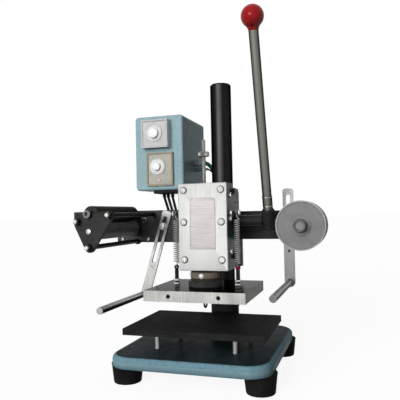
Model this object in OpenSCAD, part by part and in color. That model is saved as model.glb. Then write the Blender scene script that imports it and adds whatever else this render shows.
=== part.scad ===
// Bench hot foil stamping press. A cast base carries a fixed table and a column. The head
// slides on the column, and its rack-driven ram presses the heated plate down to the table.
// Two side beams on the head carry the foil supply spool and the foil take-up rollers.

/* [Base] */
// Width of the cast base
base_w = 222; // [215:1:260]
// Depth of the cast base
base_d = 243; // [230:1:280]
// Thickness of the cast base
base_t = 15; // [14:1:26]
// Plan radius of the base corners
base_corner_r = 34; // [20:1:45]
// Radius along the top edge of the base
base_edge_r = 7; // [3:0.5:9]
// Skin left above the hollow under the base
base_skin = 9; // [6:0.5:12]
// Base edge behind the column axis
base_tail = 28; // [26:1:40]
// Height of a rubber foot
foot_h = 27; // [16:1:32]
// Top diameter of a rubber foot
foot_d = 44; // [30:1:48]
// Bottom diameter of a rubber foot
foot_tip_d = 38; // [24:1:42]
// Foot centre inside the side edge of the base
foot_side = 18; // [16:1:30]
// Foot centre inside the front edge of the base
foot_front = 36; // [30:1:60]
// Foot centre inside the back edge of the base
foot_back = 26; // [24:1:40]

/* [Table] */
// Width of the table plate
table_w = 200; // [160:1:210]
// Depth of the table plate
table_d = 136; // [110:1:145]
// Thickness of the table plate
table_t = 9; // [6:0.5:14]
// Table centre ahead of the ram axis
table_lead = 8; // [0:1:12]
// Free height of a table post
post_h = 21; // [12:1:30]
// Diameter of a table post
post_d = 6; // [4:0.5:10]
// Spacing of the posts across the table
post_span_x = 112; // [90:1:150]
// Spacing of the posts along the depth
post_span_y = 96; // [60:1:100]
// Depth of a post end in its hole
post_sink = 6; // [3:0.5:6]

/* [Column] */
// Column diameter
column_d = 35; // [30:0.5:40]
// Column axis behind the origin
column_y = 55; // [50:1:60]
// Column height above the base
column_h = 404; // [330:1:440]
// Bevel at the top of the column
column_bevel = 2; // [1:0.5:4]
// Outside diameter of the column boss
boss_d = 46; // [43:1:50]
// Height of the column boss
boss_h = 55; // [30:1:60]
// Fillet at the foot of the boss
boss_fillet = 5; // [2:0.5:5]

/* [Heated plate] */
// Open height between table and heated plate
work_gap = 36.5; // [34:0.5:60]
// Width of the heated plate
heat_w = 146; // [130:1:160]
// Depth of the heated plate
heat_d = 127; // [110:1:130]
// Thickness of the heated plate
heat_t = 15; // [13:0.5:22]
// Tapped fixing hole in the front edge, bore diameter
fix_hole_d = 4.2; // [3.3:0.1:6]
// Depth of a fixing hole
fix_hole_l = 14; // [8:1:16]
// Spacing of the fixing holes
fix_span = 72; // [50:1:110]
// Heater cartridge diameter
heater_d = 10; // [8:0.5:11]
// Heater cartridge length
heater_l = 90; // [60:1:92]
// Spacing of the heater cartridges
heater_span = 52; // [40:1:60]
// Diameter of the flange on the heated plate
flange_d = 52; // [47:1:60]
// Thickness of the flange
flange_t = 8; // [5:0.5:12]
// Diameter of the insulating collar
collar_d = 45; // [40:1:46]
// Height of the insulating collar
collar_h = 12; // [10:0.5:16]
// Diameter of the ram spigot in the collar
spigot_d = 26; // [18:0.5:28]

/* [Ram and head] */
// Ram axis ahead of the column axis
ram_reach = 104; // [98:1:120]
// Width of the ram slide
ram_w = 40; // [30:0.5:42]
// Depth of the ram slide
ram_d = 18; // [16:0.5:20]
// Working stroke of the ram
stroke = 30; // [20:1:30]
// Running gap around the slide
slide_gap = 0.08; // [0.05:0.01:0.1]
// Thickness of the gib strip
gib_t = 4; // [3:0.5:5]
// Gap between collar and head
head_clear = 2.5; // [2:0.5:6]
// Width of the head
head_w = 74; // [72:1:86]
// Height of the head
head_h = 128; // [126:1:140]
// Depth of the slide housing
housing_d = 36; // [30:1:40]
// Depth of the block behind the housing
block_d = 34; // [30:1:40]
// Height of the roof over the slide channel
roof_t = 8; // [5:0.5:9]
// Thickness of the front plate
front_t = 4; // [3:0.5:6]
// Width of the neck to the column
neck_w = 46; // [40:1:47]
// Diameter of the lower sleeve round the column
clamp_d = 64; // [60:1:66]
// Diameter of the upper sleeve round the column
clamp_top_d = 54; // [48:1:56]
// Stop rod diameter
stop_d = 6; // [5:0.5:8]
// Free height of the stop rod above the head
stop_h = 65; // [58:1:80]
// Stop nut above the head
nut_rise = 40; // [39:0.5:46]

/* [Rack, pinion and lever] */
// Gear module
gear_m = 2; // [1.5:0.25:2]
// Teeth on the pinion
pinion_n = 18; // [17:1:19]
// Face width of the pinion
pinion_w = 20; // [12:1:22]
// Backlash between pinion and rack
backlash = 0.3; // [0.2:0.05:0.4]
// Shaft axis above the head's lower face
shaft_rise = 72; // [70:1:76]
// Lever shaft diameter
shaft_d = 16; // [12:0.5:18]
// Bush outside diameter
bush_d = 22; // [20:0.5:24]
// Running clearance of a shaft, radial
run_gap = 0.05; // [0.02:0.01:0.1]
// Lever plane to the right of the ram axis
lever_x = 91; // [86:1:93]
// Lever length from shaft to knob centre
lever_l = 285; // [220:1:320]
// Forward lean of the lever at rest
lever_lean = 18; // [5:1:25]
// Lever rod diameter
lever_d = 13.5; // [10:0.5:15]
// Lever hub diameter
hub_d = 19; // [17:0.5:20]
// Lever hub length
hub_l = 34; // [28:1:40]
// Ball knob diameter
knob_d = 31; // [26:1:40]

/* [Return springs] */
// Spring axis beside the ram axis
spring_x = 47.5; // [45:0.5:50]
// Outside diameter of a spring
spring_od = 9; // [7:0.2:10]
// Spring wire diameter
wire_d = 1.3; // [1:0.1:1.4]
// Turns of a spring
spring_turns = 22; // [12:1:24]
// Hanger screw above the head's lower face
hang_rise = 84; // [80:1:90]

/* [Foil feed] */
// Beam centre above the head's lower face
bar_rise = 64; // [60:1:68]
// Beam thickness
bar_t = 6; // [5:0.5:8]
// Height of the left beam
left_bar_h = 53; // [48:1:60]
// Height of the right beam
right_bar_h = 44; // [40:1:54]
// Left beam end from the ram axis
left_bar_l = 175; // [170:1:180]
// Free length between left beam and take-up plate
feed_l = 150; // [100:1:152]
// Thickness of the take-up plate
feed_plate_t = 5; // [4:0.5:6]
// Rollers' back end ahead of the beam
roller_back = 16; // [2:1:24]
// Drive roller diameter
drive_d = 25; // [20:0.5:26]
// Pressure roller diameter
press_d = 23; // [18:0.5:24]
// Roller axis inside the left beam's end
roller_inset = 35; // [33:0.5:37]
// Roller axle diameter
axle_d = 8; // [6:0.5:10]
// Tie rod diameter
tie_d = 7; // [6:0.5:8]
// Supply spindle to the right of the ram axis
spool_x = 140; // [138:1:150]
// Spindle diameter
spindle_d = 12; // [8:0.5:14]
// Spool flange diameter
flange_disc_d = 70; // [50:1:72]
// Spool flange thickness
flange_disc_t = 3; // [2:0.5:5]
// Clear width between the spool flanges
spool_w = 36; // [20:1:40]
// Spool core diameter
core_d = 25; // [20:0.5:30]

/* [Guide arms] */
// Length of a guide arm
arm_l = 150; // [130:1:160]
// Width of a guide arm
arm_w = 16; // [14:0.5:18]
// Thickness of a guide arm
arm_t = 3; // [2:0.5:5]
// Slot width in a guide arm
slot_w = 6.6; // [5.5:0.1:8]
// Slot length in a guide arm
slot_l = 80; // [66:1:90]
// Clamp bolt shank diameter
pivot_d = 6; // [5:0.1:6.2]
// Guide rod diameter
rod_d = 10; // [6:0.5:12]
// Guide rod length
rod_l = 154; // [100:1:160]
// Left arm bolt inside the roller axis
left_arm_in = 50; // [46:1:52]
// Right arm bolt from the ram axis
right_arm_x = 115; // [113:1:117]
// Left bolt below the top of its arm
left_arm_set = 26; // [20:1:60]
// Right bolt below the top of its arm
right_arm_set = 55; // [20:1:60]
// Outward lean of the left arm
left_arm_lean = 17; // [5:1:25]

/* [Control box] */
// Width of the control box
box_w = 88; // [80:1:92]
// Height of the control box
box_h = 128; // [120:1:140]
// Depth of the control box
box_d = 120; // [105:1:130]
// Wall of the control box
box_wall = 2; // [1.5:0.25:3]
// Box centre to the left of the column
box_x = 107; // [104:1:112]
// Box front ahead of the column axis
box_lead = 18; // [14:1:20]
// Thickness of the box bracket
bracket_t = 6; // [4:0.5:8]
// Controller bezel width and height
bezel_w = 48; // [46:1:52]
// Controller bezel depth in front of the box
bezel_t = 13; // [8:0.5:16]
// Timer frame width
timer_w = 48; // [46:1:52]
// Timer frame height
timer_h = 57; // [52:1:60]
// Timer frame depth in front of the box
timer_t = 5; // [3:0.5:8]
// Dial diameter
dial_d = 28; // [20:0.5:29]

/* [Hidden] */
$fn = 48;
cut = 0.5;

// Heights
base_top = foot_h + base_t;
table_top = base_top + post_h + table_t;
heat_z = table_top + work_gap;
heat_top = heat_z + heat_t;
flange_top = heat_top + flange_t;
collar_top = flange_top + collar_h;
head_z = collar_top + head_clear;
head_top = head_z + head_h;
bar_z = head_z + bar_rise;
shaft_z = head_z + shaft_rise;
hang_z = head_z + hang_rise;
clamp_z = head_z - 4;
neck_z = head_z + 14;
clamp_top = head_top - 9;
box_z = clamp_top + bracket_t;

// Depths
ram_y = column_y - ram_reach;
ram_back = ram_y + ram_d / 2;
head_y = ram_y - ram_d / 2 - slide_gap;
front_y = head_y - front_t;
housing_back = head_y + housing_d;
bar_y = housing_back + block_d;
pitch_r = gear_m * pinion_n / 2;
shaft_y = ram_back - gear_m + pitch_r;
table_y = ram_y - table_lead;
base_y = column_y + base_tail - base_d / 2;
feed_y = bar_y - feed_l;
arm_gap = 0.15;
arm_y = bar_y - arm_gap;
box_y = column_y - box_lead;

// Slide and head details
gib_x = ram_w / 2 + slide_gap;
ram_foot = collar_top + 0.5;
ram_top = head_top - roof_t - 4;
spigot_sink = 8;
screw_inset = 8.5;
front_rows = [16, 71, 118];
gib_rows = [27, 75.5, 110];
gib_screw_d = 4;
gib_tip = 4.8;
gib_nut_t = 3.2;
plate_rise = 31;
plate_w = 39;
plate_h = 76;
plate_t = 1;
plate_rim = 1.5;
plate_sink = 0.4;
side_y = ram_y + 4;
side_hex_d = 7.8;
stop_sink = 12;
nut_d = 17;
nut_t = 7;
ear_y = column_y + clamp_d / 2 + 10;
clamp_bolt_d = 10;
ear_x = 14;
pinion_room = 1.5;

// Springs hang between the eye of a stud and a hanger screw
eye_r = 3;
eye_bar = 2;
eye_z = heat_top + 26;
hang_d = 4;
hook_r = 3;
hook_reach = 2.2;
hook_riser = 7;
spring_r = (spring_od - wire_d) / 2;
hook_z = eye_z + eye_r + 0.4;
coil_z0 = hook_z + hook_r + hook_reach;
coil_z1 = hang_z - hook_r - hook_riser;

// Foil feed, set out from the roller axis and the middle of the beams
roller_x = left_bar_l - roller_inset;
left_arm_x = roller_x - left_arm_in;
drive_drop = 2.5;
drive_z = bar_z - drive_drop;
nip_gap = 0.3;
press_z = drive_z + (drive_d + press_d) / 2 + nip_gap;
roller_gap = 1;
tie_out = 16.5;
tie_out_rise = 11.5;
tie_in = 32.5;
tie_in_rise = 20;
tie_low = 1;
tie_low_drop = 24.5;
tie_low_r = 7.5;
tie_points = [[-roller_x - tie_out, tie_out_rise], [-roller_x + tie_in, tie_in_rise],
  [-roller_x + tie_low, -tie_low_drop]];
feed_out = 23;
feed_in = 37;
feed_rise = 25;
feed_drop = 28;
feed_side = 6;
feed_toe_out = 6;
feed_toe_in = 7.5;
feed_slope_in = 33;
feed_slope_rise = 11;
feed_step = 16;
acorn_d = 12;
spool_reach = 66;
spool_front = bar_y - spool_reach;
spool_back = spool_front + spool_w + 2 * flange_disc_t;
spool_play = 0.3;
nut_knob_d = 19;
hook_in = 17;
hook_rise = 11;
hook_post = [-roller_x + hook_in, hook_rise];
low_screw_out = 25;
low_screw_in = 22;
low_screw_drop = 21;
low_screws = [[-roller_x - low_screw_out, -low_screw_drop], [-roller_x + low_screw_in, -low_screw_drop]];

// Instruments on the box front
controller_out = 3;
controller_drop = 32;
timer_in = 2.5;
timer_rise = 36;
controller_x = -box_x - controller_out;
controller_z = box_z + box_h - controller_drop;
timer_x = -box_x + timer_in;
timer_z = box_z + timer_rise;
panel_body = 44;
dial_t = 4;
dial_pin = 5;
dial_sink = 2;

// Leads, from the box down to the terminal blocks and on to the heater ends
lead_d = 3;
green_d = 7;
lead_ease = 0.4;
grommet_h = 6;
block_y = [bar_y + bar_t + 0.6, bar_y + bar_t + 13.6];
block_w = 11;
block_foot = neck_z + 4;
block_top = neck_z + 18;
lead_bend = 12;
green_bend = 16;
loop_bend = 7;
bend_steps = 5;
lead_points = [
  [[-104, 52, 265], [-104, 52, 250], [-29, 21.5, 187], [-29, 21.5, 178]],
  [[-98, 55, 265], [-98, 55, 250], [-29, 25.5, 189], [-29, 25.5, 178]],
  [[-91, 58, 265], [-91, 58, 250], [-29, 29.5, 191], [-29, 29.5, 178]]];
green_points = [[-62, 100, 320], [-40, 100, 320], [6, 96, 272], [18, 91, 244], [38, 72, 222], [38, 46, 206],
  [29, 28, 190], [29, 28, 178]];
black_points = [[-62, 112, 310], [-40, 112, 310], [4, 109, 266], [14, 106, 246], [36, 92, 226], [50, 58, 208],
  [46, 30, 200], [29, 20.8, 185], [29, 20.8, 178]];
loop_points = [for (p = [[-28, 75], [28, 81]])
  [[p[0], 25, 164], [p[0], 25, 146], [p[0], 43, 122], [p[0], 43, p[1]], [p[0], 28, p[1]], [p[0], 28, 116],
   [p[0], 16.5, 116]]];

function unit(v) = v / norm(v);
function tangent(p, i) = unit(p[min(i + 1, len(p) - 1)] - p[max(i - 1, 0)]);
function square_to(n, t) = unit(n - (n * t) * t);
function normals(p, n, i = 0, found = []) = i == len(p) ? found
  : let (m = square_to(i == 0 ? n : found[i - 1], tangent(p, i)))
    normals(p, n, i + 1, concat(found, [m]));
function bend(a, b, c, r) =
  let (u = unit(a - b), v = unit(c - b), half = acos(u * v) / 2, mid = b + r / sin(half) * unit(u + v))
  let (from = b + r / tan(half) * u - mid, to = b + r / tan(half) * v - mid)
  [for (k = [0 : bend_steps]) mid + r * unit(from + (to - from) * k / bend_steps)];
function route(p, r) = concat(
  [p[0]],
  [for (i = [1 : len(p) - 2]) each bend(p[i - 1], p[i], p[i + 1], r)],
  [p[len(p) - 1]]);

module tube(p, d, sides) {
  n = normals(p, abs(tangent(p, 0)[0]) > 0.7 ? [0, 1, 0] : [1, 0, 0]);
  last = len(p) - 1;
  skin = [for (i = [0 : last]) for (k = [0 : sides - 1])
    p[i] + d / 2 * (cos(360 * k / sides) * n[i] + sin(360 * k / sides) * cross(tangent(p, i), n[i]))];
  walls = [for (i = [0 : last - 1]) for (k = [0 : sides - 1])
    let (a = i * sides + k, b = i * sides + (k + 1) % sides)
    each [[a, a + sides, b], [b, a + sides, b + sides]]];
  near = [for (k = [1 : sides - 2]) [0, k, k + 1]];
  far = [for (k = [1 : sides - 2]) [last * sides, last * sides + k + 1, last * sides + k]];
  polyhedron(skin, concat(walls, near, far));
}

// Cross-section of a slab with rounded upper edges, centred on its width
module soft_profile(w, t, e) {
  translate([-w / 2, 0])
    square([w, t - e]);
  translate([-w / 2 + e, 0])
    square([w - 2 * e, t]);
  for (s = [-1, 1])
    translate([s * (w / 2 - e), t - e])
      circle(e);
}

// Slab with round corners in plan and rounded upper edges
module soft_slab(w, d, t, r, e) {
  rotate([90, 0, 0])
    linear_extrude(d - 2 * r, center = true)
      soft_profile(w, t, e);
  rotate([90, 0, 90])
    linear_extrude(w - 2 * r, center = true)
      soft_profile(d, t, e);
  for (x = [-1, 1], y = [-1, 1])
    translate([x * (w / 2 - r), y * (d / 2 - r), 0])
      rotate_extrude()
        intersection() {
          soft_profile(2 * r, t, e);
          square([r, t]);
        }
}

// Block between two corners
module block(a, b) {
  translate(a)
    cube(b - a);
}

// Cylinders along X and Y, starting at a point
module along_x(p, d, l) {
  translate(p)
    rotate([0, 90, 0])
      cylinder(d = d, h = l);
}
module along_y(p, d, l) {
  translate(p)
    rotate([-90, 0, 0])
      cylinder(d = d, h = l);
}

// Bar outline with full round ends, lying along the second axis
module stadium(w, l) {
  translate([-w / 2, w / 2])
    square([w, l - w]);
  for (v = [w / 2, l - w / 2])
    translate([0, v])
      circle(d = w);
}

module foot_places() {
  for (s = [-1, 1])
    for (y = [base_y - base_d / 2 + foot_front, base_y + base_d / 2 - foot_back])
      translate([s * (base_w / 2 - foot_side), y, 0])
        children();
}

module post_places() {
  for (x = [-1, 1], y = [-1, 1])
    translate([x * post_span_x / 2, table_y + y * post_span_y / 2, 0])
      children();
}

// Base group

module base_casting() {
  pocket_x = base_w - 2 * base_skin;
  pocket_y = base_d - 2 * base_skin;
  foot_room_x = 2 * (foot_side + foot_d / 2 + 2);
  foot_room_y = 2 * (max(foot_front, foot_back) + foot_d / 2 + 2);
  color("steelblue")
    difference() {
      union() {
        translate([0, base_y, foot_h])
          soft_slab(base_w, base_d, base_t, base_corner_r, base_edge_r);
        translate([0, column_y, foot_h])
          cylinder(d = boss_d, h = base_t + boss_h);
        translate([0, column_y, base_top - cut])
          cylinder(d1 = boss_d + 2 * boss_fillet, d2 = boss_d, h = boss_fillet + cut);
      }
      translate([0, column_y, foot_h + 4])
        cylinder(d = column_d, h = base_t + boss_h);
      block([-base_w / 2 + foot_room_x / 2, base_y - pocket_y / 2, foot_h - cut],
        [base_w / 2 - foot_room_x / 2, column_y - boss_d / 2 - 6, base_top - base_skin]);
      block([-pocket_x / 2, base_y - base_d / 2 + foot_room_y / 2, foot_h - cut],
        [pocket_x / 2, base_y + base_d / 2 - foot_room_y / 2, base_top - base_skin]);
      post_places()
        translate([0, 0, base_top - post_sink])
          cylinder(d = post_d, h = post_sink + cut);
    }
}

module rubber_feet() {
  color("black")
    foot_places() {
      difference() {
        cylinder(d1 = foot_tip_d, d2 = foot_d, h = foot_h);
        translate([0, 0, -cut])
          cylinder(d = 12, h = foot_h / 2 + cut);
      }
    }
}

module table_posts() {
  color("silver")
    post_places()
      translate([0, 0, base_top - post_sink])
        cylinder(d = post_d, h = post_h + 2 * post_sink);
}

module table_plate() {
  color("dimgray")
    difference() {
      translate([0, table_y, table_top - table_t])
        linear_extrude(table_t)
          square([table_w, table_d], center = true);
      post_places()
        translate([0, 0, table_top - table_t - cut])
          cylinder(d = post_d, h = post_sink + cut);
    }
}

module column() {
  tall = base_t - 4 + column_h;
  color("black")
    translate([0, column_y, foot_h + 4]) {
      cylinder(d = column_d, h = tall - column_bevel);
      translate([0, 0, tall - column_bevel])
        cylinder(d1 = column_d, d2 = column_d - 2 * column_bevel, h = column_bevel);
    }
}

// Head group

module head_block() {
  channel_x = gib_x + gib_t;
  color("darkslategray")
    difference() {
      union() {
        block([-head_w / 2, head_y, head_z], [head_w / 2, housing_back, head_top]);
        block([-head_w / 2, housing_back - cut, head_z + 3.5],
          [head_w / 2, bar_y, head_top - 7]);
        block([-neck_w / 2, bar_y - cut, neck_z], [neck_w / 2, column_y, clamp_top]);
        translate([0, column_y, clamp_z])
          cylinder(d = clamp_d, h = bar_z - clamp_z);
        translate([0, column_y, bar_z - cut])
          cylinder(d = clamp_top_d, h = clamp_top - bar_z + cut);
        block([-ear_x, column_y, bar_z - ear_x], [ear_x, ear_y + 10, bar_z + ear_x]);
      }
      block([-gib_x, head_y - cut, head_z - cut],
        [channel_x, ram_back + slide_gap, head_top - roof_t]);
      translate([0, ram_y, head_top - roof_t - cut])
        cylinder(d = stop_d + 1, h = roof_t + 2 * cut);
      along_x([-pinion_w / 2 - pinion_room, shaft_y, shaft_z],
        2 * (pitch_r + gear_m + pinion_room), pinion_w + 2 * pinion_room);
      block([-pinion_w / 2 - pinion_room, ram_back - cut, shaft_z - pitch_r - gear_m - pinion_room],
        [pinion_w / 2 + pinion_room, shaft_y, shaft_z + pitch_r + gear_m + pinion_room]);
      along_x([-head_w / 2 - cut, shaft_y, shaft_z], bush_d, head_w + 2 * cut);
      translate([0, column_y, clamp_z - cut])
        cylinder(d = column_d + 2 * run_gap, h = clamp_top - clamp_z + 2 * cut);
      block([-1.5, column_y, clamp_z - cut], [1.5, ear_y + 20, clamp_top + cut]);
      along_x([-20, ear_y, bar_z], clamp_bolt_d + 0.4, 40);
      for (s = [-1, 1])
        for (row = front_rows)
          along_y([s * (head_w / 2 - screw_inset), head_y - cut, head_z + row], 4, 12 + cut);
      for (row = gib_rows)
        along_x([channel_x - cut, side_y, head_z + row], gib_screw_d, head_w / 2 - channel_x + 2 * cut);
      for (s = [-1, 1])
        along_x([s > 0 ? head_w / 2 - 9 : -head_w / 2 - cut, side_y, hang_z], 5, 9 + cut);
      beam_screw_places()
        along_y([0, bar_y - 12, 0], 5, 12 + cut);
      for (s = [-1, 1])
        block([s * head_w / 2 - 3, housing_back + 2, head_top - 29],
          [s * head_w / 2 + 3, bar_y + cut, head_top - 27.5]);
    }
}

module front_plate() {
  color("gainsboro")
    difference() {
      block([-head_w / 2, front_y, head_z], [head_w / 2, head_y, head_top]);
      for (s = [-1, 1])
        for (row = front_rows)
          along_y([s * (head_w / 2 - screw_inset), front_y - cut, head_z + row], 4, front_t + 2 * cut);
    }
}

module front_screws() {
  color("silver")
    for (s = [-1, 1])
      for (row = front_rows)
        translate([s * (head_w / 2 - screw_inset), front_y, head_z + row]) {
          along_y([0, 0, 0], 4, front_t + 12);
          along_y([0, -2.2, 0], 9.6, 2.2);
          translate([0, -2.2, 0])
            rotate([90, 0, 0])
              cylinder(d1 = 9.6, d2 = 6.4, h = 1.2);
        }
}

module name_plate() {
  z = head_z + plate_rise;
  inner = plate_w / 2 - plate_rim;
  face = front_y - plate_t;
  color("lightgray")
    difference() {
      block([-plate_w / 2, face, z], [plate_w / 2, front_y, z + plate_h]);
      block([-inner, face - cut, z + plate_rim], [inner, face + plate_sink, z + plate_h - plate_rim]);
    }
}

module gib_strip() {
  color("tan")
    block([gib_x, head_y + slide_gap, head_z + 1],
      [gib_x + gib_t - slide_gap / 2, ram_back, head_top - roof_t - 1]);
}

module gib_screws() {
  out = head_w / 2;
  start = gib_x + gib_t;
  color("silver")
    for (row = gib_rows)
      translate([0, side_y, head_z + row]) {
        along_x([start, 0, 0], gib_screw_d, out - start + gib_tip);
        translate([out, 0, 0])
          rotate([0, 90, 0])
            cylinder(d = side_hex_d, h = gib_nut_t, $fn = 6);
      }
}

module shaft_bushes() {
  inner = pinion_w / 2 + pinion_room + 2;
  color("darkgoldenrod")
    for (s = [-1, 1])
      difference() {
        along_x([s > 0 ? inner : -head_w / 2, shaft_y, shaft_z], bush_d, head_w / 2 - inner);
        along_x([s > 0 ? inner - cut : -head_w / 2 - cut, shaft_y, shaft_z],
          shaft_d + 2 * run_gap, head_w / 2 - inner + 2 * cut);
      }
}

module clamp_bolt() {
  color("silver")
    translate([0, ear_y, bar_z]) {
      along_x([-ear_x, 0, 0], clamp_bolt_d, 2 * ear_x + 12);
      for (x = [-ear_x - 7, ear_x])
        translate([x, 0, 0])
          rotate([0, 90, 0])
            cylinder(d = 18, h = 7, $fn = 6);
    }
}

module spring_hangers() {
  color("silver")
    for (s = [-1, 1])
      translate([0, side_y, hang_z])
        rotate([0, s * 90, 0]) {
          translate([0, 0, head_w / 2 - 9])
            cylinder(d = 5, h = 9);
          translate([0, 0, head_w / 2])
            cylinder(d = side_hex_d, h = 4, $fn = 6);
          translate([0, 0, head_w / 2 + 4])
            cylinder(d = hang_d, h = spring_x - head_w / 2 - 1);
          translate([0, 0, spring_x + 3])
            cylinder(d1 = 8, d2 = 5, h = 3);
        }
}

// One spring's wire: lower hook, coil and upper hook, along its own axis
hook_steps = 9;
hook_sweep = 285;
coil_steps = 8;
coil_path = [for (k = [0 : spring_turns * coil_steps])
  let (a = 360 * k / coil_steps, f = k / (spring_turns * coil_steps))
  [spring_r * cos(a), spring_r * sin(a), coil_z0 + f * (coil_z1 - coil_z0)]];
lower_hook = [for (k = [0 : hook_steps]) let (a = 90 - hook_sweep + hook_sweep * k / hook_steps)
  [0, hook_r * cos(a), hook_z + hook_r * sin(a)]];
upper_hook = [for (k = [0 : hook_steps]) let (a = -90 + hook_sweep * k / hook_steps)
  [0, hook_r * cos(a), hang_z + hook_r * sin(a)]];
spring_path = concat(
  lower_hook,
  [[spring_r * 0.3, -0.9, hook_z + hook_r + 0.4], [spring_r * 0.75, -1.6, coil_z0 - 0.9]],
  coil_path,
  [[spring_r * 0.7, 1.4, coil_z1 + 1.2], [spring_r * 0.25, 0.8, coil_z1 + 2.6], [0, 0.1, coil_z1 + 4.4]],
  upper_hook);
function self_gap(p, d, skip) = min([for (i = [0 : len(p) - 1]) for (j = [i + skip : 1 : len(p) - 1])
  norm(p[i] - p[j])]) - d;
echo(spring_least_gap = self_gap(spring_path, wire_d, 5));

module return_springs() {
  color("silver")
    for (s = [-1, 1])
      translate([s * spring_x, side_y, 0])
        tube(spring_path, wire_d, 6);
}

// Ram group

rack_pitch = PI * gear_m;
rack_gap_half = rack_pitch / 4 + backlash / 4;
rack_below = 2;
rack_above = ceil(stroke / rack_pitch) + 2;

module rack_cut() {
  deep = 1.25 * gear_m;
  lean = tan(20);
  rotate([90, 0, 90])
    linear_extrude(ram_w + 2, center = true)
      polygon([[-gear_m - deep + gear_m, -rack_gap_half + deep * lean],
        [-gear_m - deep + gear_m, rack_gap_half - deep * lean],
        [gear_m + cut, rack_gap_half + (gear_m + cut) * lean],
        [gear_m + cut, -rack_gap_half - (gear_m + cut) * lean]]);
}

module ram_slide() {
  color("silver")
    difference() {
      union() {
        block([-ram_w / 2, ram_y - ram_d / 2, ram_foot], [ram_w / 2, ram_back, ram_top]);
        translate([0, ram_y, collar_top - spigot_sink])
          cylinder(d = spigot_d, h = spigot_sink + 1);
      }
      for (k = [-rack_below : rack_above])
        translate([0, ram_back - gear_m, shaft_z + k * rack_pitch])
          rack_cut();
      translate([0, ram_y, ram_top - stop_sink])
        cylinder(d = stop_d, h = stop_sink + cut);
    }
}

module stop_rod() {
  color("silver")
    translate([0, ram_y, ram_top - stop_sink])
      cylinder(d = stop_d, h = head_top + stop_h - ram_top + stop_sink);
}

module stop_nut() {
  color("gainsboro")
    translate([0, ram_y, head_top + nut_rise])
      difference() {
        cylinder(d = nut_d, h = nut_t);
        translate([0, 0, -cut])
          cylinder(d = stop_d + 2 * run_gap, h = nut_t + 2 * cut);
      }
}

module insulating_collar() {
  color("burlywood")
    difference() {
      translate([0, ram_y, flange_top])
        cylinder(d = collar_d, h = collar_h);
      translate([0, ram_y, collar_top - spigot_sink])
        cylinder(d = spigot_d, h = spigot_sink + cut);
      collar_places()
        translate([spigot_d / 2 - cut, 0, 0])
          rotate([0, 90, 0])
            cylinder(d = 4, h = collar_d);
    }
}

module collar_places() {
  translate([0, ram_y, collar_top - spigot_sink / 2])
    for (k = [0 : 3])
      rotate([0, 0, 90 * k])
        children();
}

module collar_screws() {
  color("silver")
    collar_places() {
      translate([spigot_d / 2, 0, 0])
        rotate([0, 90, 0])
          cylinder(d = 4, h = (collar_d - spigot_d) / 2 + 0.5);
      translate([collar_d / 2 + 0.3, 0, 0])
        rotate([0, 90, 0])
          cylinder(d = 7, h = 2.4);
    }
}

module ram_flange() {
  color("black")
    translate([0, ram_y, heat_top])
      cylinder(d = flange_d, h = flange_t);
}

module heated_plate() {
  back = ram_y + heat_d / 2;
  front = ram_y - heat_d / 2;
  mid = heat_z + heat_t / 2;
  color("silver")
    difference() {
      block([-heat_w / 2, front, heat_z], [heat_w / 2, back, heat_top]);
      for (s = [-1, 1]) {
        along_y([s * fix_span / 2, front - cut, mid], fix_hole_d, fix_hole_l + cut);
        along_y([s * heater_span / 2, back - heater_l, mid], heater_d, heater_l + cut);
        translate([s * spring_x, side_y, heat_top - 8])
          cylinder(d = 5, h = 8 + cut);
      }
    }
}

module heater_cartridges() {
  back = ram_y + heat_d / 2;
  color("dimgray")
    for (s = [-1, 1])
      along_y([s * heater_span / 2, back - heater_l, heat_z + heat_t / 2], heater_d, heater_l + 2);
}

module eye_studs() {
  color("black")
    for (s = [-1, 1])
      translate([s * spring_x, side_y, heat_top]) {
        translate([0, 0, -8])
          cylinder(d = 5, h = 8 + eye_z - heat_top - eye_r);
        for (z = [0, 4.6])
          translate([0, 0, z])
            cylinder(d = 9.2, h = 4, $fn = 6);
        translate([0, 0, eye_z - heat_top])
          rotate([90, 0, 0])
            rotate_extrude()
              translate([eye_r, 0])
                circle(d = eye_bar, $fn = 24);
      }
}

// Lever group

base_r = pitch_r * cos(20);
function roll(r) = let (t = sqrt(max(0, pow(r / base_r, 2) - 1))) t * 180 / PI - atan(t);
tooth_half = 90 / pinion_n - backlash / 4 / pitch_r * 180 / PI;
function flank(r) = tooth_half + roll(pitch_r) - roll(r);
function at(r, a) = [r * cos(a), r * sin(a)];
flank_steps = 4;
tip_r = pitch_r + gear_m;
root_r = pitch_r - 1.25 * gear_m;

module pinion_outline() {
  radii = [for (k = [0 : flank_steps]) base_r + (tip_r - base_r) * k / flank_steps];
  polygon([for (tooth = [0 : pinion_n - 1]) let (mid = 360 / pinion_n * tooth) each concat(
    [at(root_r, mid - flank(base_r))],
    [for (k = [0 : flank_steps]) at(radii[k], mid - flank(radii[k]))],
    [for (k = [flank_steps : -1 : 0]) at(radii[k], mid + flank(radii[k]))],
    [at(root_r, mid + flank(base_r))])]);
}

module pinion() {
  color("gray")
    difference() {
      translate([0, shaft_y, shaft_z])
        rotate([90, 0, 90])
          linear_extrude(pinion_w, center = true)
            rotate(180)
              pinion_outline();
      along_x([-pinion_w, shaft_y, shaft_z], shaft_d, 2 * pinion_w);
    }
}

module lever_shaft() {
  left = head_w / 2 + 0.3;
  neck_x = lever_x - hub_d / 2;
  color("silver")
    translate([0, shaft_y, shaft_z]) {
      along_x([-left - 5, 0, 0], shaft_d + 8, 5);
      along_x([-left - cut, 0, 0], shaft_d, left + cut + neck_x);
      along_x([neck_x - cut, 0, 0], shaft_d - 6, hub_d + cut);
    }
}

module lever_frame() {
  translate([lever_x, shaft_y, shaft_z])
    rotate([lever_lean, 0, 0])
      children();
}

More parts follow.
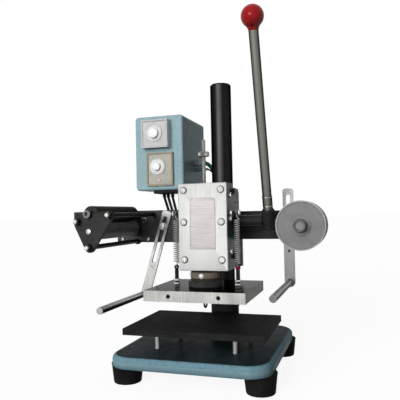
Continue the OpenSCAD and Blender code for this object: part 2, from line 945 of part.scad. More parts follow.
module lever_hub() {
  color("black")
    lever_frame()
      difference() {
        union() {
          translate([0, 0, -hub_l / 2])
            cylinder(d1 = hub_d - 4, d2 = hub_d, h = 2);
          translate([0, 0, -hub_l / 2 + 2])
            cylinder(d = hub_d, h = hub_l - 4);
          translate([0, 0, hub_l / 2 - 2])
            cylinder(d1 = hub_d, d2 = lever_d + 2, h = 2);
        }
        along_x([-hub_d, 0, 0], shaft_d - 6, 2 * hub_d);
        translate([0, 0, hub_l / 2 - 8])
          cylinder(d = lever_d - 2, h = 8 + cut);
      }
}

module lever_rod() {
  ferrule = hub_l / 2 + 20;
  neck = lever_l - knob_d / 2 - 2;
  grip = lever_l - knob_d / 2 + 4;
  color("silver")
    lever_frame() {
      translate([0, 0, hub_l / 2 - 8])
        cylinder(d = lever_d - 2, h = 8 + cut);
      translate([0, 0, hub_l / 2])
        cylinder(d = lever_d + 1, h = 20);
      translate([0, 0, ferrule])
        cylinder(d = lever_d, h = neck - ferrule);
      translate([0, 0, neck])
        cylinder(d = lever_d - 2, h = grip - neck);
    }
}

module ball_knob() {
  color("firebrick")
    lever_frame()
      difference() {
        union() {
          translate([0, 0, lever_l])
            sphere(d = knob_d);
          translate([0, 0, lever_l - knob_d / 2 - 2])
            cylinder(d = lever_d + 2, h = knob_d / 2);
        }
        translate([0, 0, lever_l - knob_d])
          cylinder(d = lever_d - 2, h = knob_d / 2 + 4);
      }
}

// Foil feed group

module beam_screw_places() {
  for (s = [-1, 1], z = [-12, 12])
    translate([s * (head_w / 2 - 6.5), 0, bar_z + z])
      children();
}

module feed_outline() {
  translate([-roller_x, 0])
    polygon([[-feed_out, feed_rise], [-feed_out, feed_side], [-feed_toe_out, -feed_drop],
      [feed_toe_in, -feed_drop], [feed_slope_in, feed_slope_rise], [feed_in, feed_step],
      [feed_in, feed_rise]]);
  translate(tie_points[2])
    circle(r = tie_low_r);
}

module feed_bores(y, l) {
  along_y([-roller_x, y, drive_z], axle_d + 2 * run_gap, l);
  along_y([-roller_x, y, press_z], axle_d, l);
  for (p = tie_points)
    along_y([p[0], y, bar_z + p[1]], tie_d - 2, l);
}

module left_beam() {
  color("black")
    difference() {
      union() {
        block([-left_bar_l, bar_y, bar_z - left_bar_h / 2],
          [-neck_w / 2 - 1, bar_y + bar_t, bar_z + left_bar_h / 2]);
        along_y([tie_points[2][0], bar_y, bar_z + tie_points[2][1]], tie_d + 4, bar_t);
      }
      feed_bores(bar_y - cut, bar_t + 2 * cut);
      along_y([-left_arm_x, bar_y - cut, bar_z], pivot_d + 2 * run_gap, bar_t + 2 * cut);
      for (p = concat([hook_post], low_screws))
        along_y([p[0], bar_y - cut, bar_z + p[1]], 4, bar_t + 2 * cut);
      beam_screw_places()
        along_y([0, bar_y - cut, 0], 5.5, bar_t + 2 * cut);
    }
}

module right_beam() {
  color("black")
    difference() {
      union() {
        block([neck_w / 2 + 1, bar_y, bar_z - right_bar_h / 2],
          [spool_x, bar_y + bar_t, bar_z + right_bar_h / 2]);
        along_y([spool_x, bar_y, bar_z], right_bar_h, bar_t);
      }
      along_y([spool_x, bar_y - cut, bar_z], spindle_d - 2, bar_t + 2 * cut);
      along_y([right_arm_x, bar_y - cut, bar_z], pivot_d + 2 * run_gap, bar_t + 2 * cut);
      beam_screw_places()
        along_y([0, bar_y - cut, 0], 5.5, bar_t + 2 * cut);
    }
}

module beam_screws() {
  color("silver") {
    beam_screw_places() {
      along_y([0, bar_y - 12, 0], 5, bar_t + 12);
      along_y([0, bar_y + bar_t, 0], 8.5, 5);
    }
    translate([hook_post[0], 0, bar_z + hook_post[1]]) {
      along_y([0, bar_y - 7.6, 0], 4, bar_t + 7.6);
      along_y([0, bar_y - 9.1, 0], 6, 1.5);
    }
    for (p = low_screws)
      translate([p[0], 0, bar_z + p[1]]) {
        along_y([0, bar_y, 0], 4, bar_t);
        along_y([0, bar_y - 2, 0], 6, 2);
      }
  }
}

module take_up_plate() {
  color("black")
    difference() {
      translate([0, feed_y, bar_z])
        rotate([90, 0, 0])
          linear_extrude(feed_plate_t)
            feed_outline();
      feed_bores(feed_y - feed_plate_t - cut, feed_plate_t + 2 * cut);
    }
}

module tie_rods() {
  color("black")
    for (p = tie_points)
      translate([p[0], 0, bar_z + p[1]]) {
        along_y([0, feed_y, 0], tie_d, feed_l);
        along_y([0, bar_y - cut, 0], tie_d - 2, bar_t + cut);
        along_y([0, feed_y - feed_plate_t - 3, 0], tie_d - 2, feed_plate_t + 3 + cut);
      }
}

module acorn_nuts() {
  seat = feed_y - feed_plate_t;
  color("silver")
    for (p = tie_points)
      translate([p[0], seat, bar_z + p[1]])
        difference() {
          union() {
            along_y([0, -1.2, 0], acorn_d, 1.2);
            translate([0, -1, 0])
              rotate([90, 0, 0])
                cylinder(d = acorn_d - 2.5, h = 5, $fn = 6);
            translate([0, -6, 0])
              rotate([90, 0, 0])
                cylinder(d1 = 8, d2 = 4, h = 4.5);
          }
          along_y([0, -3, 0], tie_d - 2, 3 + cut);
        }
}

module drive_roller() {
  color("black") {
    along_y([-roller_x, feed_y + roller_gap, drive_z], drive_d, feed_l - roller_gap - roller_back);
    along_y([-roller_x, feed_y - feed_plate_t - 1, drive_z], axle_d, feed_l + feed_plate_t + 1 + bar_t);
  }
}

module pressure_roller() {
  color("black")
    difference() {
      along_y([-roller_x, feed_y + roller_gap, press_z], press_d, feed_l - roller_gap - roller_back);
      along_y([-roller_x, feed_y, press_z], axle_d + 2 * run_gap, feed_l);
    }
}

module pressure_axle() {
  head = feed_y - feed_plate_t;
  color("silver")
    difference() {
      union() {
        along_y([-roller_x, head - cut, press_z], axle_d, feed_l + feed_plate_t + cut + bar_t);
        along_y([-roller_x, head - 6, press_z], axle_d + 3, 6);
      }
      translate([-roller_x, head - 2.5, press_z])
        rotate([90, 0, 0])
          cylinder(d = 6, h = 6, $fn = 6);
    }
}

// Torsion spring round a post, with one leg up to the pressure axle side
hook_coil_r = 3.6;
hook_coil = [for (k = [0 : 3 * 8]) let (a = 180 + 45 * k)
  [hook_coil_r * cos(a), -1.2 - 5.2 * k / 24, hook_coil_r * sin(a)]];
hook_path_points = concat(
  [[-hook_coil_r, -1.2, 9], [-hook_coil_r, -1.2, 6], [-hook_coil_r, -1.2, 3]],
  hook_coil,
  [[-hook_coil_r, -6.4, -3], [-hook_coil_r, -6.4, -6], [-hook_coil_r, -6.4, -9]]);

module hook_spring() {
  color("silver")
    translate([hook_post[0], bar_y, bar_z + hook_post[1]])
      rotate([0, -35, 0])
        tube(hook_path_points, 1.2, 6);
}

module supply_spindle() {
  color("silver") {
    along_y([spool_x, spool_front - 12, bar_z], spindle_d, bar_y - spool_front + 12);
    along_y([spool_x, bar_y - cut, bar_z], spindle_d - 2, bar_t + cut);
    along_y([spool_x, spool_back + spool_play, bar_z], spindle_d + 8, bar_y - spool_back - spool_play);
  }
}

module spool_core() {
  start = spool_front + flange_disc_t;
  color("lightgray")
    difference() {
      along_y([spool_x, start, bar_z], core_d, spool_w);
      along_y([spool_x, start - cut, bar_z], spindle_d + 2 * run_gap, spool_w + 2 * cut);
    }
}

module spool_flanges() {
  color("gray")
    for (y = [spool_front, spool_front + flange_disc_t + spool_w])
      difference() {
        along_y([spool_x, y, bar_z], flange_disc_d, flange_disc_t);
        along_y([spool_x, y - cut, bar_z], spindle_d + 2 * run_gap, flange_disc_t + 2 * cut);
      }
}

module spindle_nut() {
  color("gray")
    difference() {
      union() {
        along_y([spool_x, spool_front - 16, bar_z], nut_knob_d, 12);
        along_y([spool_x, spool_front - 4.5, bar_z], nut_knob_d - 3, 4.5 - spool_play);
      }
      along_y([spool_x, spool_front - 12, bar_z], spindle_d, 14);
    }
}

// Guide arms: bolt, slotted arm and rod, drawn in the frame of the bolt

module arm_frame(x, lean) {
  translate([x, arm_y, bar_z])
    rotate([0, lean, 0])
      children();
}

module arm_bolt() {
  head = arm_t + arm_gap;
  color("silver") {
    along_y([0, -head, 0], pivot_d, head + arm_gap + bar_t + 6);
    along_y([0, -head - 1.2, 0], arm_w - 4, 1.2);
    along_y([0, -head - 5.2, 0], pivot_d + 3, 4.2);
    translate([0, arm_gap + bar_t + 0.2, 0])
      rotate([-90, 0, 0])
        cylinder(d = 11, h = 5, $fn = 6);
  }
}

module arm_bar(set) {
  color("gainsboro")
    difference() {
      translate([0, 0, set - arm_l])
        rotate([90, 0, 0])
          linear_extrude(arm_t)
            union() {
              translate([-arm_w / 2, arm_w / 2])
                square([arm_w, arm_l - arm_w / 2 - 4]);
              translate([-arm_w / 2 + 4, arm_l - 8])
                square([arm_w - 8, 8]);
              for (s = [-1, 1])
                translate([s * (arm_w / 2 - 4), arm_l - 4])
                  circle(4);
              translate([0, arm_w / 2])
                circle(d = arm_w);
            }
      translate([0, cut, set - 9 - slot_l])
        rotate([90, 0, 0])
          linear_extrude(arm_t + 2 * cut)
            stadium(slot_w, slot_l);
      along_y([0, -arm_t - cut, set - 9 - slot_l - 6], 4, arm_t + 2 * cut);
      along_y([0, -arm_t - cut, set - arm_l + arm_w / 2], rod_d - 4, arm_t + 2 * cut);
    }
}

module arm_rod(set) {
  color("silver")
    translate([0, 0, set - arm_l + arm_w / 2]) {
      along_y([0, -arm_t - rod_l, 0], rod_d, rod_l);
      along_y([0, -arm_t - cut, 0], rod_d - 4, arm_t + cut);
    }
}

module left_clamp_bolt() {
  arm_frame(-left_arm_x, left_arm_lean)
    arm_bolt();
}
module left_guide_arm() {
  arm_frame(-left_arm_x, left_arm_lean)
    arm_bar(left_arm_set);
}
module left_guide_rod() {
  arm_frame(-left_arm_x, left_arm_lean)
    arm_rod(left_arm_set);
}
module right_clamp_bolt() {
  arm_frame(right_arm_x, 0)
    arm_bolt();
}
module right_guide_arm() {
  arm_frame(right_arm_x, 0)
    arm_bar(right_arm_set);
}
module right_guide_rod() {
  arm_frame(right_arm_x, 0)
    arm_rod(right_arm_set);
}

// Control group

module box_bracket() {
  color("black")
    difference() {
      translate([0, column_y, clamp_top])
        linear_extrude(bracket_t)
          union() {
            translate([-box_x - 10, -20])
              square([box_x + 10, 40]);
            circle(d = column_d + 10);
          }
      translate([0, column_y, clamp_top - cut])
        cylinder(d = column_d + 2, h = bracket_t + 2 * cut);
    }
}

module control_box() {
  mid_z = box_z + box_h / 2;
  color("cadetblue")
    difference() {
      translate([-box_x, box_y + box_d, mid_z])
        rotate([90, 0, 0])
          soft_slab(box_w, box_h, box_d, 6, 4);
      block([-box_x - box_w / 2 + box_wall, box_y + box_wall, box_z + box_wall],
        [-box_x + box_w / 2 - box_wall, box_y + box_d + cut, box_z + box_h - box_wall]);
      block([controller_x - panel_body / 2, box_y - cut, controller_z - panel_body / 2],
        [controller_x + panel_body / 2, box_y + 3 * box_wall, controller_z + panel_body / 2]);
      block([timer_x - panel_body / 2, box_y - cut, timer_z - panel_body / 2],
        [timer_x + panel_body / 2, box_y + 3 * box_wall, timer_z + panel_body / 2]);
    }
}

module box_cover() {
  color("cadetblue")
    block([-box_x - box_w / 2 + box_wall + 0.2, box_y + box_d - box_wall, box_z + box_wall + 0.2],
      [-box_x + box_w / 2 - box_wall - 0.2, box_y + box_d, box_z + box_h - box_wall - 0.2]);
}

// Panel instrument: a bezel in front of the panel and a body behind it
module instrument(x, z, w, h, t, recess) {
  difference() {
    union() {
      block([x - w / 2, box_y - t, z - h / 2], [x + w / 2, box_y, z + h / 2]);
      block([x - panel_body / 2 + 0.1, box_y - cut, z - panel_body / 2 + 0.1],
        [x + panel_body / 2 - 0.1, box_y + 70, z + panel_body / 2 - 0.1]);
    }
    block([x - w / 2 + 3, box_y - t - cut, z - h / 2 + 3],
      [x + w / 2 - 3, box_y - t + recess, z + h / 2 - 3]);
    children();
  }
}

module dial(x, y, z) {
  along_y([x, y - dial_t, z], dial_d, dial_t - 0.2);
  along_y([x, y - dial_t - 5, z], dial_d / 2, 5 + cut);
  along_y([x, y - cut, z], dial_pin, cut + 8);
}

temp_face = box_y - bezel_t + dial_sink;
timer_face = box_y - timer_t + dial_sink;
timer_dial_x = timer_x - 4;
timer_dial_z = timer_z + 4;

module temperature_controller() {
  color("whitesmoke")
    instrument(controller_x, controller_z, bezel_w, bezel_w, bezel_t, dial_sink)
      along_y([controller_x, temp_face - cut, controller_z], dial_pin + 2 * run_gap, cut + 8.5);
}

module temperature_dial() {
  color("white")
    dial(controller_x, temp_face, controller_z);
}

module timer() {
  color("wheat")
    instrument(timer_x, timer_z, timer_w, timer_h, timer_t, dial_sink)
      along_y([timer_dial_x, timer_face - cut, timer_dial_z], dial_pin + 2 * run_gap, cut + 8.5);
}

module timer_dial() {
  color("white")
    dial(timer_dial_x, timer_face, timer_dial_z);
}

module cable_grommets() {
  color("black") {
    for (p = lead_points)
      translate([p[0][0], p[0][1], clamp_top - grommet_h])
        difference() {
          cylinder(d = lead_d + 3, h = grommet_h);
          translate([0, 0, -cut])
            cylinder(d = lead_d + lead_ease, h = grommet_h + 2 * cut);
        }
    for (p = [[green_points[0], green_d], [black_points[0], lead_d]])
      difference() {
        along_x([-box_x + box_w / 2, p[0][1], p[0][2]], p[1] + 5, grommet_h);
        along_x([-box_x + box_w / 2 - cut, p[0][1], p[0][2]], p[1] + lead_ease, grommet_h + 2 * cut);
      }
    along_y([-box_x, box_y + box_d, box_z + 25], 16, 8);
  }
}

module terminal_blocks() {
  color("ivory")
    for (s = [-1, 1])
      block([s > 0 ? neck_w / 2 : -neck_w / 2 - block_w, block_y[0], block_foot],
        [s > 0 ? neck_w / 2 + block_w : -neck_w / 2, block_y[1], block_top]);
}

module fixed_leads() {
  color("black") {
    for (p = lead_points)
      tube(route(p, lead_bend), lead_d, 8);
    tube(route(black_points, lead_bend), lead_d, 8);
  }
  color("darkgreen")
    tube(route(green_points, green_bend), green_d, 8);
}

module lead_loops() {
  color("black")
    for (p = loop_points)
      tube(route(p, loop_bend), lead_d, 8);
}

base_casting();
rubber_feet();
table_posts();
table_plate();
column();
head_block();
front_plate();
front_screws();
name_plate();
gib_strip();
gib_screws();
shaft_bushes();
clamp_bolt();
spring_hangers();
return_springs();
ram_slide();
stop_rod();
stop_nut();
insulating_collar();
collar_screws();
ram_flange();
heated_plate();
heater_cartridges();
eye_studs();
lever_shaft();
pinion();
lever_hub();
lever_rod();
ball_knob();
left_beam();
right_beam();
beam_screws();
take_up_plate();
tie_rods();
acorn_nuts();
drive_roller();
pressure_roller();
pressure_axle();
hook_spring();
supply_spindle();
spool_core();
spool_flanges();
spindle_nut();
left_clamp_bolt();
left_guide_arm();
left_guide_rod();
right_clamp_bolt();
right_guide_arm();
right_guide_rod();
box_bracket();
control_box();
box_cover();
temperature_controller();
temperature_dial();
timer();
timer_dial();
cable_grommets();
terminal_blocks();
fixed_leads();
lead_loops();
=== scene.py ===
"""Looks of a bench hot foil stamping press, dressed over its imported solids."""

import math

import bmesh
import bpy
from mathutils import Matrix, Vector


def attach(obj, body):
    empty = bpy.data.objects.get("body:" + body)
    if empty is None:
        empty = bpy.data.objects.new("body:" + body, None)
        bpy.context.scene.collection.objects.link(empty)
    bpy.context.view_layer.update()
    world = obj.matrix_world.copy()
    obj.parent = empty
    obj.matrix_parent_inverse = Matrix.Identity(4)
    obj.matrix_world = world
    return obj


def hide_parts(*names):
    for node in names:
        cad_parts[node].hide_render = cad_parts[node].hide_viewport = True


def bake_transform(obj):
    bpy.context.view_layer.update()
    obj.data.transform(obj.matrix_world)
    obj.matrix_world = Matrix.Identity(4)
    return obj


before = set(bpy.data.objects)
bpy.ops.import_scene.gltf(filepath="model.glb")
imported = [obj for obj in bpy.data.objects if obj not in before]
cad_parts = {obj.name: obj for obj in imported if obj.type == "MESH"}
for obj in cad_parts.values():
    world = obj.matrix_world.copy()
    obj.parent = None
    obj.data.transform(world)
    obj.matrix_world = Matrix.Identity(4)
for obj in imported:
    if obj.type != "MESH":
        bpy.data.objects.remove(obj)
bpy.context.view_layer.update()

bl_info = {
    "name": "Hot Foil Stamping Press",
    "version": (1, 0, 0),
    "blender": (4, 5, 0),
    "location": "View3D > Sidebar > Foil Press",
    "description": "Finishes and fine fittings of a bench hot foil stamping press",
    "category": "Object",
}

MM = 0.001
UP, DOWN, BACK, FRONT, RIGHT = (0, 0, 1), (0, 0, -1), (0, 1, 0), (0, -1, 0), (1, 0, 0)

# Places in the part's frame, in millimetres
BEAM_Y, BEAM_Z, BEAM_T = 11.92, 210, 6
FOOT_SPOTS = [(x, y) for x in (-93, 93) for y in (-124, 57)]
HEAD_SIDE_X, SIDE_Y = 37, -45
GIB_SCREW_Z = (173, 221.5, 256)
CAP_SCREW_Y, CAP_SCREW_Z = -28, (165, 262)
CLAMP_BOLT_AT, CLAMP_WIDTH = (-14, 97, 210), 28
PLATE_AT, PLATE_T = (0, -58.08, 210), 4
FRONT_Y = PLATE_AT[1] - PLATE_T
FRONT_SCREW_X, FRONT_SCREW_Z = (-28.5, 28.5), (162, 217, 264)
NAME_PLATE_AT, NAME_PLATE_T = (0, FRONT_Y, 215), 0.6
RIVET_X, RIVET_Z = (-16.4, 16.4), (180.1, 249.9)
RAM_Y = -49
STOP_ROD_FOOT, STOP_ROD_TIP, STOP_NUT_Z = 254, 339, 314
COLLAR_SCREW_Z, COLLAR_SCREW_REACH = 139.3, 22.3
HOT_TOP, HOT_MIDDLE, HOT_FRONT_Y = 123.5, 116, RAM_Y - 63.5
FIXING_HOLE_X = (-36, 36)
SPRING_X = 47.5
SPRING_LOW_EYE, SPRING_HIGH_EYE = 152.9, 230
LEVER_AT, LEVER_LEAN = (91, -24, 218), math.radians(18)
FEED_Y = -143.08
TIE_POINTS = ((-156.5, 221.5), (-107.5, 230.0), (-139.0, 185.5))
TAKE_UP_SCREWS = ((-165, 189), (-118, 189))
BEAM_SCREW_X, BEAM_SCREW_RISE = (-30.5, 30.5), (-12, 12)
HOOK_POST_AT = (-123, BEAM_Y, 221)
DRIVE_AXLE_AT = (-140, FEED_Y, 207.5)
SPOOL_X, SPOOL_Z = 140, 210
FLANGE_Y, HUB_NUT_Y = (-51.08, -12.08), -54.38
CONTROLLER_AT = (-110, 26, 367)
TIMER_AT = (-104.5, 34, 307)
TIMER_DIAL_AT = (-108.5, 34, 311)
BOX_BACK_Y, BOX_SIDE_X = 157, -57
COVER_SCREW_X, COVER_SCREW_Z = (-145, -69), (277, 393)

# Settings


def tone(label, text, default):
    """A colour setting."""
    return bpy.props.FloatVectorProperty(
        name=label, description=text, subtype="COLOR", size=3, min=0, max=1, default=default
    )


def length(label, text, millimetres):
    """A length setting, kept in metres."""
    return bpy.props.FloatProperty(
        name=label, description=text, unit="LENGTH", min=0, default=millimetres * MM, precision=4
    )


def angle(label, text, degrees):
    """An angle setting, kept in radians."""
    return bpy.props.FloatProperty(
        name=label, description=text, unit="ROTATION", default=math.radians(degrees)
    )


def number(label, text, default):
    """A plain number setting."""
    return bpy.props.FloatProperty(name=label, description=text, default=default)


def count(label, text, default):
    """A whole number setting."""
    return bpy.props.IntProperty(name=label, description=text, min=1, default=default)


class PressFinishes(bpy.types.PropertyGroup):
    """Colours of the press."""

    paint_light: tone("Paint, high spots", "Blue hammer paint where it is thin", (0.28, 0.405, 0.44))
    paint_deep: tone("Paint, hollows", "Blue hammer paint in its dimples", (0.18, 0.29, 0.322))
    head_light: tone("Head paint, high spots", "Dark paint of the head casting", (0.068, 0.094, 0.098))
    head_deep: tone("Head paint, hollows", "Dark paint of the head in its dimples", (0.026, 0.040, 0.042))
    black: tone("Black steel", "Blackened steel of column, beams and plates", (0.0155, 0.0155, 0.0158))
    table: tone("Table", "Black finish of the work table", (0.0165, 0.0165, 0.0165))
    steel: tone("Bright steel", "Rods, arms, screws and springs", (0.33, 0.33, 0.322))
    lever: tone("Lever steel", "Drawn bar of the lever", (0.195, 0.195, 0.178))
    silver: tone("Front plate", "Satin front plate", (0.36, 0.36, 0.354))
    hot_face: tone("Heated plate edge", "Machined sides of the heated plate", (0.278, 0.278, 0.268))
    hot_top: tone("Heated plate top", "Heat-darkened top of the heated plate", (0.041, 0.041, 0.041))
    name_plate: tone("Name plate", "Bare name plate", (0.24, 0.225, 0.225))
    board: tone("Insulating board", "Pressed heat-proof board of the collar", (0.155, 0.13, 0.098))
    knob: tone("Ball knob", "Red ball knob", (0.30, 0.005, 0.0075))
    spool: tone("Spool", "Frosted plastic of the foil spool", (0.20, 0.202, 0.20))
    case_grey: tone("Controller case", "Pale case of the temperature controller", (0.43, 0.435, 0.427))
    case_beige: tone("Timer case", "Beige case of the timer", (0.34, 0.315, 0.24))
    dial: tone("Dials", "White dials and scale plates", (0.88, 0.88, 0.87))
    rubber: tone("Rubber", "Feet, grommets and pressure roller", (0.010, 0.010, 0.0098))
    green: tone("Green lead", "Thick green lead", (0.005, 0.04, 0.028))


class PressFittings(bpy.types.PropertyGroup):
    """Sizes of the small fittings."""

    screw_head: length("Front screw head", "Diameter of a front plate screw head", 9.6)
    screw_rise: length("Front screw height", "Height of a front plate screw head", 3.4)
    spring_wire: length("Spring wire", "Wire of the return springs", 1.4)
    spring_coil: length("Spring coil", "Mean radius of the return springs", 3.85)
    spring_turns: count("Spring turns", "Turns of a return spring", 20)
    nut_teeth: count("Nut knurls", "Knurls round the stop nut", 44)
    hub_teeth: count("Hub knurls", "Knurls round the spool's hub nut", 28)
    thread_pitch: length("Thread pitch", "Pitch of the threaded rod", 1.0)
    edge: length("Edge break", "Broken edge of plates and beams", 0.5)


class PressStage(bpy.types.PropertyGroup):
    """Camera and light."""

    camera_at: bpy.props.FloatVectorProperty(
        name="Camera place", description="Camera in the part's frame", subtype="TRANSLATION",
        unit="LENGTH", size=3, default=(0.2210, -0.7618, 0.2292),
    )
    yaw: angle("Yaw", "Turn of the camera to the left", 17.74)
    pitch: angle("Pitch", "Tilt of the camera downwards", -1.57)
    roll: angle("Roll", "Roll of the camera", -1.18)
    lens: number("Lens", "Focal length on a 36 mm sensor", 45.28)
    key: number("Key light", "Strength of all the lamps", 3.8)
    sky: number("Room light", "Light from all round", 0.13)
    floor: number("Floor tone", "Paleness of the floor", 0.2)


def finishes():
    return bpy.context.scene.press_finishes


def fittings():
    return bpy.context.scene.press_fittings


def mm(metres):
    return metres / MM


# Node recipes


class Recipe:
    """A node material in the making: one shader, and textures in the part's own metres."""

    def __init__(self, name, **values):
        self.material = bpy.data.materials.new(name)
        self.material.use_nodes = True
        self.tree = self.material.node_tree
        self.shader = self.tree.nodes["Principled BSDF"]
        self.coords = self.add("ShaderNodeTexCoord")
        for key, value in values.items():
            self.shader.inputs[key.replace("_", " ")].default_value = value

    def add(self, kind, inputs=None, **settings):
        node = self.tree.nodes.new(kind)
        for key, value in settings.items():
            setattr(node, key, value)
        for key, value in (inputs or {}).items():
            if isinstance(value, bpy.types.NodeSocket):
                self.tree.links.new(value, node.inputs[key])
            else:
                node.inputs[key].default_value = value
        return node

    def feed(self, **sockets):
        for key, value in sockets.items():
            self.tree.links.new(value, self.shader.inputs[key.replace("_", " ")])

    def noise(self, scale, detail=3.0, stretch=None):
        place = self.coords.outputs["Object"]
        if stretch:
            place = self.add("ShaderNodeMapping", {"Vector": place, "Scale": stretch}).outputs[0]
        settings = {"Vector": place, "Scale": scale, "Detail": detail}
        return self.add("ShaderNodeTexNoise", settings).outputs["Fac"]

    def cells(self, scale, smoothness=0.7):
        return self.add(
            "ShaderNodeTexVoronoi",
            {"Vector": self.coords.outputs["Object"], "Scale": scale, "Smoothness": smoothness},
            feature="SMOOTH_F1",
        ).outputs["Distance"]

    def height(self):
        """Height over the floor."""
        return self.add("ShaderNodeSeparateXYZ", {0: self.coords.outputs["Object"]}).outputs[2]

    def facing(self, way):
        """How far a face looks one way, from -1 to 1."""
        return self.add(
            "ShaderNodeVectorMath", {0: self.coords.outputs["Normal"], 1: way}, operation="DOT_PRODUCT"
        ).outputs["Value"]

    def sum(self, a, b, share):
        scaled = self.add("ShaderNodeMath", {0: b, 1: share}, operation="MULTIPLY").outputs[0]
        return self.add("ShaderNodeMath", {0: a, 1: scaled}, operation="ADD").outputs[0]

    def range(self, value, low, high, start=0.3, stop=0.7):
        return self.add(
            "ShaderNodeMapRange",
            {"Value": value, "From Min": start, "From Max": stop, "To Min": low, "To Max": high},
        ).outputs[0]

    def ramp(self, value, *stops):
        node = self.add("ShaderNodeValToRGB", {"Fac": value})
        stones = node.color_ramp.elements
        while len(stones) < len(stops):
            stones.new(0.5)
        for stone, (place, colour) in zip(stones, stops):
            stone.position = place
            stone.color = (*colour, 1)
        return node.outputs["Color"]

    def mix(self, share, a, b):
        node = self.add("ShaderNodeMix", {"Factor": share}, data_type="RGBA")
        for socket, value in ((node.inputs[6], a), (node.inputs[7], b)):
            if isinstance(value, bpy.types.NodeSocket):
                self.tree.links.new(value, socket)
            else:
                socket.default_value = (*value, 1)
        return node.outputs[2]

    def bump(self, height, strength, depth_mm):
        node = self.add("ShaderNodeBump", {"Height": height, "Strength": strength, "Distance": depth_mm * MM})
        self.feed(Normal=node.outputs[0])

    def edges(self, low=0.515, high=0.58):
        """Share of a convex edge, for paint rubbed thin there."""
        point = self.add("ShaderNodeNewGeometry").outputs["Pointiness"]
        return self.range(point, 0.0, 1.0, low, high)


def shade(colour, factor):
    return tuple(min(1.0, c * factor) for c in colour)


def tinted(colour, factors):
    return tuple(c * k for c, k in zip(colour, factors))


# Makers of finishes. low and high are the smoothest and roughest spots; stretch draws out the grain.

ROUND = (1, 1, 1)
ALONG_X, ALONG_Y, ALONG_Z = (0.05, 1, 1), (1, 0.05, 1), (1, 1, 0.05)


def hammer_paint(name, deep, light, cell_mm, worn, gloss=0.035):
    """Dimpled paint, on the way to its last mix."""
    r = Recipe(name, Specular_IOR_Level=gloss)
    cells = r.cells(1 / (cell_mm * MM))
    cloud = r.noise(70)
    flakes = r.noise(2600, 1.0)
    body = r.ramp(r.sum(cells, cloud, 0.6), (0.35, deep), (0.85, light))
    body = r.mix(r.range(flakes, 0.0, 0.35, 0.55, 0.75), body, shade(light, 1.4))
    body = r.mix(r.edges(), body, worn)
    r.feed(Base_Color=body, Roughness=r.range(cloud, 0.26, 0.40))
    r.bump(cells, 0.35, 0.35)
    return r, body


def black_steel(name, colour, low, high, stretch, gloss=0.06):
    r = Recipe(name, Specular_IOR_Level=gloss)
    streaks = r.noise(420, 4.0, stretch)
    cloud = r.noise(45)
    body = r.ramp(r.sum(streaks, cloud, 0.5), (0.45, shade(colour, 0.62)), (0.95, shade(colour, 1.5)))
    r.feed(Base_Color=body, Roughness=r.range(cloud, low, high))
    r.bump(streaks, 0.12, 0.06)
    return r.material


def tooled(name, colour, low, high, stretch, depth=0.03, rim=0.45, bare=1.0):
    """Metal with tool lines, on the way to its last mix.

    rim is its shine where it is seen edge-on, and bare the share without a dull skin.
    """
    r = Recipe(name, Metallic=bare, Specular_Tint=(rim, rim, rim, 1), Specular_IOR_Level=0.0)
    lines = r.noise(900, 3.0, stretch)
    cloud = r.noise(38)
    body = r.ramp(r.sum(lines, cloud, 0.6), (0.5, shade(colour, 0.74)), (1.05, shade(colour, 1.16)))
    r.feed(Base_Color=body, Roughness=r.range(r.sum(cloud, lines, 0.3), low, high, 0.4, 0.9))
    r.bump(lines, 0.12, depth)
    return r, body


def machined(*settings):
    return tooled(*settings)[0].material


def arm_steel(name, colour):
    """Bright flat faces between edge faces darkened as painted shade."""
    r, body = tooled(name, colour, 0.27, 0.41, ALONG_Z)
    # Painted shade: faces that do not look front or back are darkened.
    flat = r.add("ShaderNodeMath", {0: r.facing(BACK)}, operation="ABSOLUTE").outputs[0]
    r.feed(Base_Color=r.mix(r.range(flat, 1.0, 0.0, 0.3, 0.6), body, shade(colour, 0.12)))
    return r.material


def banded_rod(name, colour, under, dark_reflection_share, top, end):
    """Drawn rod with a painted highlight along its top and a painted dark reflection of the parts below along
    its middle. The tones of its bands and its end are shares of the colour.
    """
    r = Recipe(name, Metallic=1.0, Specular_Tint=(0.3, 0.3, 0.3, 1))
    lines = r.noise(900, 3.0, ALONG_Y)
    # Painted highlight and reflection: tone bands by how far a face looks up.
    bands = zip((0.12, 0.3, 0.6, 0.74), (under, dark_reflection_share, dark_reflection_share, top))
    body = r.ramp(
        r.range(r.sum(r.facing(UP), lines, 0.1), 0.0, 1.0, -1.0, 1.1),
        *((place, shade(colour, share)) for place, share in bands),
    )
    body = r.mix(r.range(r.facing(BACK), 1.0, 0.0, -0.9, -0.7), body, shade(colour, end))
    r.feed(Base_Color=body, Roughness=r.range(lines, 0.28, 0.4))
    r.bump(lines, 0.12, 0.02)
    return r.material


def rubbery(name, colour, low, high):
    """Dull rubber, on the way to its last mix."""
    r = Recipe(name, Specular_IOR_Level=0.02)
    cloud = r.noise(60)
    r.feed(
        Base_Color=r.ramp(cloud, (0.3, shade(colour, 0.75)), (0.7, shade(colour, 1.5))),
        Roughness=r.range(cloud, low, high),
    )
    r.bump(r.noise(1800, 2.0), 0.15, 0.08)
    return r, cloud


def soft_rubber(*settings):
    return rubbery(*settings)[0].material


def plastic(
    name, colour, low, high, gloss=0.16, cloud=80, grain=1400, tones=(0.93, 1.06), dents=(0.08, 0.05), clear=0.0
):
    """Moulded plastic, on the way to its last mix. clear is the share of light that passes through."""
    r = Recipe(name, Transmission_Weight=clear, Specular_IOR_Level=gloss)
    fine = r.noise(grain, 2.0)
    body = r.ramp(r.noise(cloud), (0.3, shade(colour, tones[0])), (0.7, shade(colour, tones[1])))
    r.feed(Base_Color=body, Roughness=r.range(fine, low, high))
    r.bump(fine, *dents)
    return r, body


def moulded(*settings):
    return plastic(*settings)[0].material


# Finishes that one maker makes: maker, colour, share of that colour, then the maker's settings

